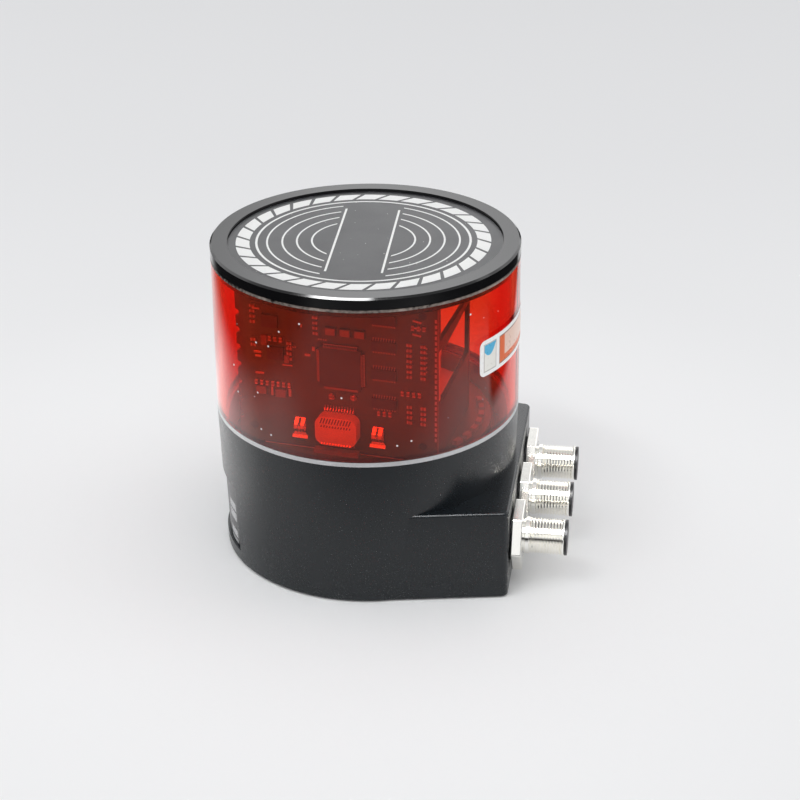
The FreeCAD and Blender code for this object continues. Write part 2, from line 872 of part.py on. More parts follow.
def head_passives():
    parts = []
    for across, low, high in passive_column_shares:
        for z in filled_row(board_z(low), board_z(high)):
            parts.append(on_board(board_x(across), z, passive_length, passive_width, passive_height))
    for upwards, left, right in passive_row_shares:
        for x in filled_row(board_x(left), board_x(right)):
            parts.append(on_board(x, board_z(upwards), passive_width, passive_length, passive_height))
    return Part.makeCompound(parts)


def head_connector():
    body = on_board(board_x(plug_share[0]), board_z(plug_share[1]), plug_width, plug_height, plug_depth)
    return rounded(body, plug_corner, AXIS_Y)


def clip(x, z):
    """A bent metal clip: a narrow upright on a flared foot."""
    half = clip_width / 2
    waist = clip_waist / 2
    outline = [(-half, 0), (half, 0), (waist, clip_foot), (waist, clip_height), (-waist, clip_height),
               (-waist, clip_foot)]
    face = face_of([point(x + a, -board_distance, z + b) for a, b in outline])
    plate = face.extrude(point(0, -clip_depth, 0))
    groove = box(x - clip_groove / 2, x + clip_groove / 2, -board_distance - clip_depth - OVERCUT,
                 -board_distance - clip_depth / 2, z + clip_foot, z + clip_height + OVERCUT)
    return plate.cut(groove)


def board_clips():
    middle = board_x(plug_share[0])
    reach = plug_width / 2 + clip_gap + clip_width / 2
    return Part.makeCompound([clip(middle + side * reach, board_z(clip_level_share)) for side in (-1, 1)])


def side_plate(outline, x0, x1):
    """A plate between two places along X, from a list of (place along Y, height) points."""
    return face_of([point(x0, y, z) for y, z in outline]).extrude(point(x1 - x0, 0, 0))


def side_frame():
    """Open frame behind the right edge of the board: low wall, tapered rail and two uprights."""
    outer = board_half_width - frame_inset
    inner = outer - frame_wall
    back = board_back + frame_depth
    rail_top = round_board_top + frame_rail_top
    low_top = round_board_top + frame_low_height
    low = side_plate([(board_back, round_board_top), (back, round_board_top),
                      (back, low_top + frame_low_rise), (board_back, low_top)], inner, outer)
    rail = side_plate([(board_back, rail_top - frame_rail_height), (back, rail_top - frame_rail_tip),
                       (back, rail_top), (board_back, rail_top)], inner, outer)
    upright = box(inner, outer, back - frame_upright, back, round_board_top, rail_top)
    post = box(inner, outer, board_back, board_back + front_post, round_board_top, head_board_top)
    return [low, rail, upright, post]


def mirrored(shape):
    return shape.mirror(ORIGIN, AXIS_X)


def optics_bracket():
    outer = board_half_width - frame_inset
    back = board_back + frame_depth
    plate = box(-outer, outer, board_back, back, round_board_top, plate_top)
    half_carrier = receiver_radius + barrel_flange + carrier_side
    carrier = box(receiver_x - half_carrier, receiver_x + half_carrier, 0, carrier_thickness, round_board_top,
                  carrier_top)
    pieces = [plate, carrier]
    for piece in side_frame():
        pieces += [piece, mirrored(piece)]
    reach = carrier_thickness + gusset_depth
    for edge in (receiver_x - half_carrier, receiver_x + half_carrier - gusset_wall):
        pieces.append(side_plate([(0, round_board_top), (reach, round_board_top), (reach, plate_top),
                                  (0, gusset_top)], edge, edge + gusset_wall))
    half = lug_size / 2
    for x, z in head_screw_spots():
        lug = box(x - half, x + half, board_back, board_back + lug_depth, z - half, z + half)
        pieces.append(lug)
    cuts = []
    for radius, axis_z in ((receiver_radius, receiver_axis), (emitter_radius, emitter_axis)):
        cuts.append(rod(radius + screw_fit, point(receiver_x, -OVERCUT, axis_z),
                        point(receiver_x, carrier_thickness + OVERCUT, axis_z), AXIS_Y))
    for x, z in head_screw_spots():
        cuts.append(rod(small_screw_radius + screw_fit, point(x, board_back - OVERCUT, z),
                        point(x, board_back + lug_depth, z), AXIS_Y))
    for x, y in bracket_screw_spots():
        cuts.append(cylinder(screw_radius + screw_fit, round_board_top - OVERCUT, plate_top + OVERCUT, x, y))
    return fused(pieces).cut(Part.makeCompound(cuts))


def bracket_screws():
    grip = plate_thickness + round_board_thickness + turntable_thickness - drive_depth
    return Part.makeCompound([screw(screw_radius, grip, head_radius, head_height, x, y, plate_top)
                              for x, y in bracket_screw_spots()])


def barrel(radius, length, axis_z):
    """Lens barrel with a flange on the carrier and an open bore."""
    bore = radius - barrel_wall
    flange = radius + barrel_flange
    flange_end = carrier_thickness + barrel_flange_thickness
    profile = [(0, bore), (0, radius), (carrier_thickness, radius), (carrier_thickness, flange),
               (flange_end, flange), (flange_end, radius), (length, radius), (length, bore)]
    return turned_about_y(profile, receiver_x, axis_z)


def lens(radius, length, axis_z):
    """A lens that is flat behind and bulges to the front, seated in its barrel's mouth."""
    bore = radius - barrel_wall
    tip = length - lens_setback
    back = tip - lens_bulge - lens_edge
    curve = (bore * bore + lens_bulge * lens_bulge) / (2 * lens_bulge)
    ball = Part.makeSphere(curve, point(receiver_x, tip - curve, axis_z), AXIS_Y)
    blank = rod(bore, point(receiver_x, back, axis_z), point(receiver_x, tip + OVERCUT, axis_z), AXIS_Y)
    return ball.common(blank)


def optics_board(radius, axis_z):
    """Board on the back of the carrier with a round can that looks into the barrel."""
    half = radius + optics_board_margin
    board = box(receiver_x - half, receiver_x + half, -optics_board_thickness, 0, axis_z - half,
                axis_z + half)
    can = rod(detector_radius, point(receiver_x, -optics_board_thickness / 2, axis_z),
              point(receiver_x, detector_length, axis_z), AXIS_Y)
    return board.fuse(can).removeSplitter()


def balance_weight():
    weight_y = board_back + lug_depth + weight_width
    return box(-weight_length / 2, weight_length / 2, weight_y - weight_width / 2,
               weight_y + weight_width / 2, plate_top, plate_top + weight_height)


def save(name, shape):
    shape.exportStep("parts/" + name + ".step")


def save_on_head(name, shape):
    """Head pieces are made square to the board and turned to where the head rests."""
    save(name, spun(shape, head_rest_angle))


os.makedirs("parts", exist_ok=True)

save("base_housing", base_housing())
save("nameplate", nameplate())
save("trim_ring", ring(register_radius, base_top_radius, base_height, trim_top))
save("window", window())
save("cap_seal", ring(window_inner - window_draft, cap_radius, window_top, cap_bottom))
save("top_cap", top_cap())
save("top_label", cylinder(recess_radius - label_margin, recess_floor, recess_floor + label_thickness))
save("window_sticker", window_sticker())
for place_name, place_y in zip(("front", "middle", "rear"), connector_places()):
    save("connector_shell_" + place_name, connector_shell(place_y))
    save("connector_insert_" + place_name, connector_insert(place_y))
save("connector_contacts", connector_contacts())
save("connector_seals", connector_seals())
save("connector_lock_nuts", connector_lock_nuts())
save("connector_board", connector_board())
save("board_link_header", board_link_header())
save("main_board", main_board())
save("main_processor", block_on_main_board(-processor_size, processor_size, processor_size, processor_size,
                                           processor_height))
save("network_magnetics", block_on_main_board(magnetics_length, magnetics_width, magnetics_length,
                                              magnetics_width, tall_part_height))
inductor_block = block_on_main_board(-inductor_size, -inductor_size, inductor_size, inductor_size,
                                     tall_part_height)
save("power_inductor", rounded(inductor_block, inductor_corner, AXIS_Z))
save("power_capacitors", power_capacitors())
save("main_board_screws", main_board_screws())
save("deck_plate", deck_plate())
save("deck_screws", deck_screws())
save("upper_bearing_outer", bearing_outer(deck_top - bearing_width))
save("lower_bearing_outer", bearing_outer(tube_bottom))
save("motor_stator", motor_stator())
save("motor_windings", motor_windings())
save("deck_power_coil", ring(coil_inner_radius, coil_inner_radius + coil_width, deck_top,
                             deck_top + coil_thickness))
save("encoder_sensor", encoder_sensor())

save_on_head("shaft", cylinder(shaft_radius, bell_bottom, turntable_top))
save_on_head("upper_bearing_inner", bearing_inner(deck_top - bearing_width))
save_on_head("lower_bearing_inner", bearing_inner(tube_bottom))
save_on_head("motor_bell", motor_bell())
save_on_head("motor_magnets", motor_magnets())
save_on_head("turntable", turntable())
save_on_head("head_power_coil", ring(coil_inner_radius, coil_inner_radius + coil_width,
                                     turntable_bottom - coil_thickness, turntable_bottom))
save_on_head("encoder_ring", ring(encoder_inner_radius, encoder_inner_radius + encoder_width,
                                  turntable_bottom - encoder_thickness, turntable_bottom))
save_on_head("round_board", round_board())
save_on_head("round_board_parts", round_board_parts())
save_on_head("strip_socket", strip_socket())
save_on_head("head_board", head_board())
save_on_head("head_screws", head_screws())
save_on_head("head_processor", head_processor())
save_on_head("head_chips", head_chips())
save_on_head("head_passives", head_passives())
save_on_head("head_connector", head_connector())
save_on_head("board_clips", board_clips())
save_on_head("optics_bracket", optics_bracket())
save_on_head("bracket_screws", bracket_screws())
save_on_head("receiver_barrel", barrel(receiver_radius, receiver_length, receiver_axis))
save_on_head("receiver_lens", lens(receiver_radius, receiver_length, receiver_axis))
save_on_head("receiver_board", optics_board(receiver_radius, receiver_axis))
save_on_head("emitter_barrel", barrel(emitter_radius, emitter_length, emitter_axis))
save_on_head("emitter_lens", lens(emitter_radius, emitter_length, emitter_axis))
save_on_head("laser_board", optics_board(emitter_radius, emitter_axis))
save_on_head("balance_weight", balance_weight())
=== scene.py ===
# %% [markdown]
# # Dressing a scanning lidar sensor
# The solids of this sensor are packed as a fixed frame: a black die-cast base, three round connectors, a red
# window tube, a flat cap, and a scan head that turns behind the window. This lesson loads them and adds what
# the eye expects on the real thing: finishes, the print on the cap, screw threads, solder legs and some dust.

# %% Load the frame
import json
import math
import random

import bpy
from mathutils import Matrix, Vector

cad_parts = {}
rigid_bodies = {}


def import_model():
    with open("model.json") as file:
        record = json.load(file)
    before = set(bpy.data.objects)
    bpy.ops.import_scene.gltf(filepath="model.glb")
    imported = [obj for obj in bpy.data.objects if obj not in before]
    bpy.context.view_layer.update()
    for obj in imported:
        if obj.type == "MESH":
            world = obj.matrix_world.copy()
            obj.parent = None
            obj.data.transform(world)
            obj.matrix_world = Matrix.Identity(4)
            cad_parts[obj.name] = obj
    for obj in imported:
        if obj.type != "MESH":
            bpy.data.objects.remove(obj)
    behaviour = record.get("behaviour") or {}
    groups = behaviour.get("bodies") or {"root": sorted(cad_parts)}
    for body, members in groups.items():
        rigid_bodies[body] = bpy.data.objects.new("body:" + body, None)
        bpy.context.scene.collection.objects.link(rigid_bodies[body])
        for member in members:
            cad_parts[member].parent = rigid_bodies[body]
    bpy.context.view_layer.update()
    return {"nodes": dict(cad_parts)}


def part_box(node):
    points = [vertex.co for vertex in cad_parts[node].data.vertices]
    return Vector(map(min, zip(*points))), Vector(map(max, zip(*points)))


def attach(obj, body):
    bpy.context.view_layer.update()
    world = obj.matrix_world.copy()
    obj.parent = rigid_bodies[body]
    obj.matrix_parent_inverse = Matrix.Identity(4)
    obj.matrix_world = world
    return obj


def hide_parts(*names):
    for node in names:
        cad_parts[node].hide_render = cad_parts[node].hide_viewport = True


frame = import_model()
nodes = frame["nodes"]
MM = 0.001
DEG = math.pi / 180
bpy.context.scene.view_settings.view_transform = "Standard"

# %% [markdown]
# ## Camera
# The picture looks down on the sensor from the front, turned a little towards the connectors. A camera can be
# pointed with a constraint, but three plain turns say the same and stay readable: turn about the vertical,
# dip towards the floor, and a trace of roll. A long lens keeps the sides of the housing nearly upright.

# %% Camera
camera_place = (0.0955, -0.5605, 0.33225)
camera_turn = 8.6 * DEG
camera_dip = 26.543 * DEG
camera_roll = -0.447 * DEG
camera_lens = 85.83

bpy.ops.object.select_all(action="DESELECT")
bpy.ops.object.camera_add()
camera = bpy.context.object
camera.matrix_world = (Matrix.Translation(camera_place) @ Matrix.Rotation(camera_turn, 4, "Z")
                       @ Matrix.Rotation(math.pi / 2 - camera_dip, 4, "X")
                       @ Matrix.Rotation(camera_roll, 4, "Z"))
camera.data.lens = camera_lens
bpy.context.scene.camera = camera
print("camera lens", camera.data.lens, "mm")

# %% [markdown]
# ## Floor, sky and lamps
# A product picture like this one is made on a sheet of pale paper under large soft lamps. The floor keeps the
# object's shadow. Close to the object its colour is painted palest, painted light that lifts part of that
# shadow, and towards the back it is painted darker, a painted falloff of light. Polished walls show the room
# more than a colour of their own, so floor and sky have a second look for mirror rays. The floor's is painted
# reflection: grey in front, white at the sides with a painted glow on the left, and dark past the edges of
# the sheet, where the studio is dark. The sky is bright behind, dark low on the camera's side, with one
# narrow lamp overhead for the glint on the cap. A third level lights what stands behind the red window. All
# of it is fitted to this camera, so reflections seen from other sides are only roughly right.

# %% Small node helpers
def fill(tree, node, values):
    """Give inputs of a node, by name or number, a plain value or another node's output."""
    for key, value in values.items():
        if isinstance(value, bpy.types.NodeSocket):
            tree.links.new(value, node.inputs[key])
        else:
            node.inputs[key].default_value = value


def add_node(tree, kind, values=(), **settings):
    """A new shader node with some of its settings and inputs filled in. Returns its outputs."""
    node = tree.nodes.new("ShaderNode" + kind)
    for key, value in settings.items():
        setattr(node, key, value)
    fill(tree, node, dict(values))
    return node.outputs


def calculate(tree, operation, *values):
    """One Math node on numbers or sockets."""
    return add_node(tree, "Math", enumerate(values), operation=operation)[0]


def product(tree, first, *others):
    """Several masks or numbers multiplied."""
    for other in others:
        first = calculate(tree, "MULTIPLY", first, other)
    return first


def within(tree, *limits):
    """A mask that is 1 where each value lies over its low and under its high limit. None is no limit."""
    masks = []
    for value, low, high in limits:
        if low is not None:
            masks.append(calculate(tree, "GREATER_THAN", value, low))
        if high is not None:
            masks.append(calculate(tree, "LESS_THAN", value, high))
    return product(tree, *masks)


def ramp(tree, value, start, end):
    """A smooth step from 0 at start to 1 at end."""
    return add_node(tree, "MapRange", {"Value": value, "From Min": start, "From Max": end},
                    interpolation_type="SMOOTHSTEP")["Result"]


def fades(tree, *pairs):
    """Several smooth steps multiplied, each given as a value and its start and end."""
    return product(tree, *(ramp(tree, value, *ends) for value, ends in pairs))


def blend_values(tree, share, first, second):
    """Mix two numbers by a share from 0 to 1."""
    return add_node(tree, "Mix", {0: share, 2: first, 3: second}, data_type="FLOAT")[0]


def blend_colours(tree, share, first, second):
    """Mix two colours by a share from 0 to 1."""
    return add_node(tree, "Mix", {0: share, 6: first, 7: second}, data_type="RGBA")[2]


def place_axes(tree, turn=0.0):
    """X, Y and Z of a spot on the object, measured on axes turned about the vertical."""
    place = add_node(tree, "TexCoord")["Object"]
    square = add_node(tree, "Mapping", {"Vector": place, "Rotation": (0, 0, turn)})["Vector"]
    return add_node(tree, "SeparateXYZ", {0: square})


def from_axis(tree, x, y):
    """Distance of a spot from the scan axis."""
    return calculate(tree, "SQRT", calculate(tree, "MULTIPLY_ADD", x, x, product(tree, y, y)))


def new_material(name):
    """A new material, its tree and its shader."""
    material = bpy.data.materials.new(name)
    material.use_nodes = True
    return material, material.node_tree, material.node_tree.nodes["Principled BSDF"]


print("helpers ready")

# %% Floor
floor_size = 8.0
floor_drop = 0.2 * MM
painted_light_close = (0.945, 0.948, 0.953, 1)
near_colour = (0.868, 0.870, 0.876, 1)
painted_shade_far = (0.808, 0.810, 0.818, 1)
painted_reflection_side = (1.0, 1.0, 1.0, 1)
painted_reflection_front = (0.32, 0.32, 0.325, 1)
painted_reflection_dark = (0.02, 0.02, 0.021, 1)
painted_reflection_glow = 0.55
painted_light_reach = (0.08, 0.24)
depth_reach = (0.02, 0.42)
side_reach = (0.05, 0.10)
front_reach = (-0.07, -0.16)
left_end = (-0.135, -0.215)
right_end = (0.15, 0.27)
front_end = (-0.20, -0.36)
corner_across = (0.15, 0.17)
corner_depth = (-0.005, 0.015)
glow_side = (-0.05, -0.10)
glow_front = (-0.05, 0.0)
glow_back = (0.15, 0.10)

bpy.ops.object.select_all(action="DESELECT")
bpy.ops.mesh.primitive_plane_add(size=floor_size, location=(0, 0, -floor_drop))
floor = bpy.context.object
floor.name = "floor"
floor_sheet, tree, shader = new_material("floor_sheet")
x, y = place_axes(tree, -camera_turn)[:2]
past_edge = fades(tree, (x, corner_across), (y, corner_depth))
for value, ends in ((x, left_end), (x, right_end), (y, front_end)):
    past_edge = calculate(tree, "MAXIMUM", past_edge, ramp(tree, value, *ends))
path = add_node(tree, "LightPath")
bounced = calculate(tree, "SUBTRACT", path["Is Glossy Ray"], path["Is Transmission Ray"])
bounced = calculate(tree, "MAXIMUM", bounced, 0.0)
# Farther back the floor is painted darker: a painted falloff of light.
plain = blend_colours(tree, ramp(tree, y, *depth_reach), near_colour, painted_shade_far)
# Close to the object the floor is painted paler: painted light that lifts part of its contact shadow.
plain = blend_colours(tree, ramp(tree, from_axis(tree, x, y), *painted_light_reach), painted_light_close, plain)
# What mirror rays see of the floor is painted reflection: white at the sides, grey in front, dark past the
# sheet's edges.
beside = ramp(tree, calculate(tree, "ABSOLUTE", x), *side_reach)
mirrored = blend_colours(tree, beside, plain, painted_reflection_side)
mirrored = blend_colours(tree, ramp(tree, y, *front_reach), mirrored, painted_reflection_front)
mirrored = blend_colours(tree, past_edge, mirrored, painted_reflection_dark)
# A painted glow on the left side that only mirror rays see: painted reflection.
on_sheet = calculate(tree, "MAXIMUM", calculate(tree, "SUBTRACT", bounced, past_edge), 0.0)
glow = fades(tree, (x, glow_side), (y, glow_front), (y, glow_back))
glow = product(tree, glow, on_sheet, painted_reflection_glow)
fill(tree, shader, {"Base Color": blend_colours(tree, bounced, plain, mirrored), "Roughness": 0.8,
                    "Specular IOR Level": 0.0, "Emission Color": (1, 1, 1, 1), "Emission Strength": glow})
floor.data.materials.append(floor_sheet)
print("floor", floor_size, "m wide")

# %% Sky
sky_light = 0.78
sky_plain = 1.05
sky_back_low = 1.5
sky_back_high = 2.4
sky_top = 0.62
sky_strip = 30.0
sky_dark = 0.03
sky_clear = 0.92
sky_through = 1.6
sky_tint = (0.985, 0.99, 1.0, 1)
back_start = (0.45, 0.8)
back_rise = (0.33, 0.43)
back_left = (-0.16, -0.235)
back_left_share = 0.66
back_right = (-0.14, -0.08)
back_right_share = 0.85
top_rise = (0.52, 0.72)
camera_side = (-0.2, -0.6)
ground_fade = (0.24, 0.15)
strip_right = (0.14, 0.06)
strip_left = (-0.44, -0.32)
strip_rise = (0.74, 0.80)
strip_front = (-0.2, -0.3)

world = bpy.data.worlds.new("studio_sky")
bpy.context.scene.world = world
world.use_nodes = True
tree = world.node_tree
tree.nodes.clear()
path = add_node(tree, "LightPath")
direction = add_node(tree, "TexCoord")["Generated"]
x, y, z = add_node(tree, "SeparateXYZ", {0: direction})
back = blend_values(tree, ramp(tree, z, *back_rise), sky_back_low, sky_back_high)
for ends, share in ((back_left, back_left_share), (back_right, back_right_share)):
    back = product(tree, back, blend_values(tree, ramp(tree, x, *ends), 1.0, share))
mirrored = blend_values(tree, ramp(tree, y, *back_start), sky_plain, back)
mirrored = blend_values(tree, ramp(tree, z, *top_rise), mirrored, sky_top)
low_front = fades(tree, (y, camera_side), (z, ground_fade))
mirrored = blend_values(tree, low_front, mirrored, sky_dark)
strip = fades(tree, (x, strip_right), (x, strip_left), (y, strip_front), (z, strip_rise))
mirrored = calculate(tree, "MULTIPLY_ADD", strip, sky_strip, mirrored)
strength = blend_values(tree, path["Is Glossy Ray"], sky_light, mirrored)
strength = blend_values(tree, path["Is Transmission Ray"], strength, sky_through)
strength = blend_values(tree, path["Is Camera Ray"], strength, sky_clear)
background = add_node(tree, "Background", {"Color": sky_tint, "Strength": strength})[0]
add_node(tree, "OutputWorld", {"Surface": background})
print("sky level", sky_light)

# %% Lamps
lamp_aim = Vector((0.0, 0.0, 0.05))
lamp_boxes = {
    "front_box": ((0.0, -0.55, 1.2), 1.2, 0.3, 0.5),
    "strip_box": ((-0.4, -0.5, 1.2), 0.6, 0.12, 2.0),
    "top_box": ((0.0, 0.1, 1.3), 1.2, 0.8, 0.5),
    "left_box": ((-1.0, 0.3, 0.45), 0.8, 0.7, 0.9),
    "right_box": ((1.2, 0.2, 0.6), 0.8, 0.8, 2.0),
}
for name, (place, width, height, power) in lamp_boxes.items():
    bpy.ops.object.select_all(action="DESELECT")
    bpy.ops.object.light_add(type="AREA", location=place)
    lamp = bpy.context.object
    lamp.name = name
    lamp.rotation_euler = (lamp_aim - Vector(place)).to_track_quat("-Z", "Y").to_euler()
    lamp.data.shape = "RECTANGLE"
    lamp.data.size = width
    lamp.data.size_y = height
    lamp.data.energy = power
print("lamps:", list(lamp_boxes))

# %% [markdown]
# ## Shared surface effects
# Hardly any real surface is one flat colour. Paint has a fine orange-peel grain, plating has patches, moulded
# plastic is a little uneven. A node group built once holds this effect, and every finish places it with its
# own values. It puts out a colour, a roughness and a height, all of which change over the surface. A second
# group scatters pin-points of dust: one speck in some of the cells of a cell pattern.

# %% Grain group
def new_group(name, inputs, outputs):
    """An empty shader group. A tuple as default value makes a colour socket, a number a plain one."""
    group = bpy.data.node_groups.new(name, "ShaderNodeTree")
    for way, sockets in (("INPUT", inputs), ("OUTPUT", outputs)):
        for label, value in sockets.items():
            kind = "NodeSocketColor" if isinstance(value, tuple) else "NodeSocketFloat"
            group.interface.new_socket(name=label, in_out=way, socket_type=kind).default_value = value
    return group, group.nodes.new("NodeGroupInput").outputs, group.nodes.new("NodeGroupOutput")


def noise_at(tree, scale):
    """Noise on the object's own coordinates."""
    place = add_node(tree, "TexCoord")["Object"]
    values = {"Vector": place, "Scale": scale, "Detail": 2.0}
    return add_node(tree, "TexNoise", values)["Fac"]


mid_grey = (0.5, 0.5, 0.5, 1)
patch_scale = 0.05
surface_grain, given, made = new_group(
    "surface_grain",
    {"Color": mid_grey, "Tone Spread": 0.1, "Roughness": 0.5, "Gloss Spread": 0.1, "Scale": 1000.0},
    {"Color": mid_grey, "Roughness": 0.5, "Height": 0.0})
fine = noise_at(surface_grain, given["Scale"])
patches = noise_at(surface_grain, product(surface_grain, given["Scale"], patch_scale))
centred = calculate(surface_grain, "SUBTRACT", calculate(surface_grain, "ADD", fine, patches), 1.0)
tone = calculate(surface_grain, "MULTIPLY_ADD", centred, given["Tone Spread"], 1.0)
tinted = add_node(surface_grain, "VectorMath", {0: given["Color"], "Scale": tone}, operation="SCALE")[0]
rough = calculate(surface_grain, "MULTIPLY_ADD", centred, given["Gloss Spread"], given["Roughness"])
fill(surface_grain, made, {"Color": tinted, "Roughness": rough, "Height": fine})
print("group", surface_grain.name)

# %% Dust group
dust_colour = (0.62, 0.60, 0.58, 1)
settled_dust, given, made = new_group("settled_dust", {"Scale": 200.0, "Share": 0.1, "Size": 0.1},
                                      {"Mask": 0.0})
place = add_node(settled_dust, "TexCoord")["Object"]
cells = add_node(settled_dust, "TexVoronoi", {"Vector": place, "Scale": given["Scale"]})
chance = add_node(settled_dust, "SeparateColor", {0: cells["Color"]})[0]
speckled = within(settled_dust, (chance, None, given["Share"]), (cells["Distance"], None, given["Size"]))
fill(settled_dust, made, {"Mask": speckled})
print("group", settled_dust.name)

# %% [markdown]
# ## Plain finishes
# Most parts of the sensor are paint, plated metal, moulded plastic or ceramic. One recipe serves them all: a
# Principled shader whose colour and roughness come from the grain group, and a Bump node fed by its height.
# The recipe takes the real finish's colour, gloss and grain size. Parts with a pattern of their own paint
# patches over it, each a mask and a colour.

# %% The recipe
grain_depth = 0.03 * MM


def finish(name, colour, roughness, metallic=0.0, grain=1500.0, tone=0.25, gloss=0.15, relief=0.1):
    """A grained finish. Returns the material, its tree, its shader and its grained colour."""
    material, tree, shader = new_material(name)
    values = {"Color": (*colour, 1), "Tone Spread": tone, "Roughness": roughness, "Gloss Spread": gloss,
              "Scale": grain}
    skin = add_node(tree, "Group", values, node_tree=surface_grain)
    bump = add_node(tree, "Bump", {"Strength": relief, "Distance": grain_depth, "Height": skin["Height"]})
    fill(tree, shader, {"Base Color": skin["Color"], "Roughness": skin["Roughness"], "Metallic": metallic,
                        "Normal": bump["Normal"]})
    return material, tree, shader, skin["Color"]


def paint(tree, shader, base, patches):
    """Lay patches, each a mask and a colour, over a base colour."""
    for mask, colour in patches:
        base = blend_colours(tree, mask, base, colour)
    fill(tree, shader, {"Base Color": base})


def dust(tree, scale, share, size):
    """A patch of pin-point dust."""
    values = {"Scale": scale, "Share": share, "Size": size}
    return add_node(tree, "Group", values, node_tree=settled_dust)["Mask"], dust_colour


def wear(node, material):
    """Give a CAD node or a new piece one finish."""
    target = nodes[node] if isinstance(node, str) else node
    target.data.materials.clear()
    target.data.materials.append(material)


print("recipe ready")

# %% [markdown]
# ## Housing, cap and trim
# The base is die-cast aluminium under satin black paint, the cap is polished black, the ring under the window
# is satin aluminium, and a pale bead seals the cap. Base and cap are nearly the same black, so gloss and
# grain are what tells them apart. A few pin-points of dust keep the big dark faces from looking computed.
# Inside, over the deck, the casting is bare metal, painted near white, paler than bare metal, as painted
# light on a wall that lies in shade. It is told from the paint by its distance from the axis.

# %% Housing, cap and trim
housing_black = (0.004, 0.0065, 0.009)
cap_black = (0.004, 0.004, 0.0045)
bare_metal_and_painted_light = (0.95, 0.93, 0.90, 1)
bare_radius = 49.0 * MM
bare_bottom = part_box("deck_plate")[1].z - 1.0 * MM

housing_paint, tree, shader, skin = finish("housing_paint", housing_black, 0.28, grain=1800, relief=0.12)
x, y, z = place_axes(tree)
inside = within(tree, (from_axis(tree, x, y), None, bare_radius), (z, bare_bottom, None))
# The inner wall over the deck: bare metal, painted near white as painted light on a wall in shade.
paint(tree, shader, skin, [dust(tree, scale=160, share=0.03, size=0.035), (inside, bare_metal_and_painted_light)])
wear("base_housing", housing_paint)

cap_polish, tree, shader, skin = finish("cap_polish", cap_black, 0.12, grain=900, relief=0.05, gloss=0.04)
paint(tree, shader, skin, [dust(tree, scale=220, share=0.06, size=0.05)])
wear("top_cap", cap_polish)

wear("trim_ring", finish("trim_satin", (0.60, 0.60, 0.61), 0.42, 0.5, grain=2500, relief=0.2)[0])
wear("cap_seal", finish("seal_bead", (0.20, 0.17, 0.15), 0.3, grain=900, tone=3.0, relief=0.6)[0])
print("dressed: base_housing top_cap trim_ring cap_seal")

# %% [markdown]
# ## Parts behind the window
# Behind the window and inside the base are boards, motor, bearings and optics. Each gets the finish that such
# a part has: rolled steel, enamelled copper, anodised aluminium, moulded epoxy, ceramic. One table keeps them
# readable: the finish, its colour, roughness and metal share, and the parts that wear it.

# %% Inner finishes
inner_finishes = {
    "connector_gold": ((0.80, 0.58, 0.22), 0.22, 1.0, "connector_contacts"),
    "seal_rubber": ((0.015, 0.015, 0.016), 0.6, 0.0, "connector_seals"),
    "header_plastic": ((0.02, 0.02, 0.022), 0.45, 0.0, "board_link_header"),
    "chip_epoxy": ((0.082, 0.080, 0.072), 0.42, 0.0,
                   "main_processor network_magnetics encoder_sensor head_processor head_chips"),
    "ferrite": ((0.09, 0.09, 0.09), 0.6, 0.0, "power_inductor"),
    "drawn_can": ((0.72, 0.72, 0.74), 0.25, 1.0, "power_capacitors"),
    "zinc_screw": ((0.60, 0.60, 0.61), 0.3, 1.0, "main_board_screws deck_screws bracket_screws"),
    "black_screw": ((0.05, 0.05, 0.055), 0.4, 0.6, "head_screws"),
    "dark_anodised": ((0.11, 0.11, 0.12), 0.4, 0.8, "deck_plate"),
    "ground_steel": ((0.58, 0.58, 0.59), 0.28, 1.0,
                     "upper_bearing_outer lower_bearing_outer upper_bearing_inner lower_bearing_inner "
                     "shaft motor_bell"),
    "core_sheets": ((0.26, 0.26, 0.28), 0.45, 1.0, "motor_stator"),
    "enamelled_copper": ((0.62, 0.26, 0.12), 0.32, 0.9, "motor_windings deck_power_coil head_power_coil"),
    "coated_magnet": ((0.45, 0.45, 0.47), 0.35, 1.0, "motor_magnets"),
    "black_anodised": ((0.035, 0.035, 0.04), 0.4, 0.5, "turntable"),
    "code_film": ((0.50, 0.50, 0.52), 0.15, 0.6, "encoder_ring"),
    "ceramic_tan": ((0.40, 0.27, 0.17), 0.4, 0.0, "head_passives round_board_parts"),
    "plug_cream": ((0.98, 0.80, 0.62), 0.4, 0.0, "head_connector"),
    "socket_tan": ((0.34, 0.28, 0.22), 0.45, 0.0, "strip_socket"),
    "clip_tin": ((0.95, 0.94, 0.92), 0.25, 1.0, ""),
    "bracket_plastic": ((0.10, 0.09, 0.085), 0.45, 0.0, "receiver_barrel emitter_barrel"),
    "weight_brass": ((0.68, 0.50, 0.22), 0.3, 1.0, "balance_weight"),
    "insert_plastic": ((0.012, 0.012, 0.014), 0.4, 0.0,
                       "connector_insert_front connector_insert_middle connector_insert_rear"),
}
finishes = {}
for name, (colour, roughness, metallic, wearers) in inner_finishes.items():
    finishes[name] = finish(name, colour, roughness, metallic)[0]
    for node in wearers.split():
        wear(node, finishes[name])
print("inner finishes:", len(finishes))

# %% [markdown]
# ## Circuit boards and bracket
# A board is glass fibre under green solder mask. Its copper tracks show as faint raised lines, and its sawn
# edges are bare and pale. A brick pattern with thin joints makes a fair stand-in for tracks. The pale edge is
# found by place: the pattern is turned square to the upright board, and all beyond its face is edge. In the
# same way the round board gets a bright field behind the upright one, a painted pool of light where the
# upright board leaves the near part in shade, and the bracket a pale strip along one edge, a painted
# highlight.

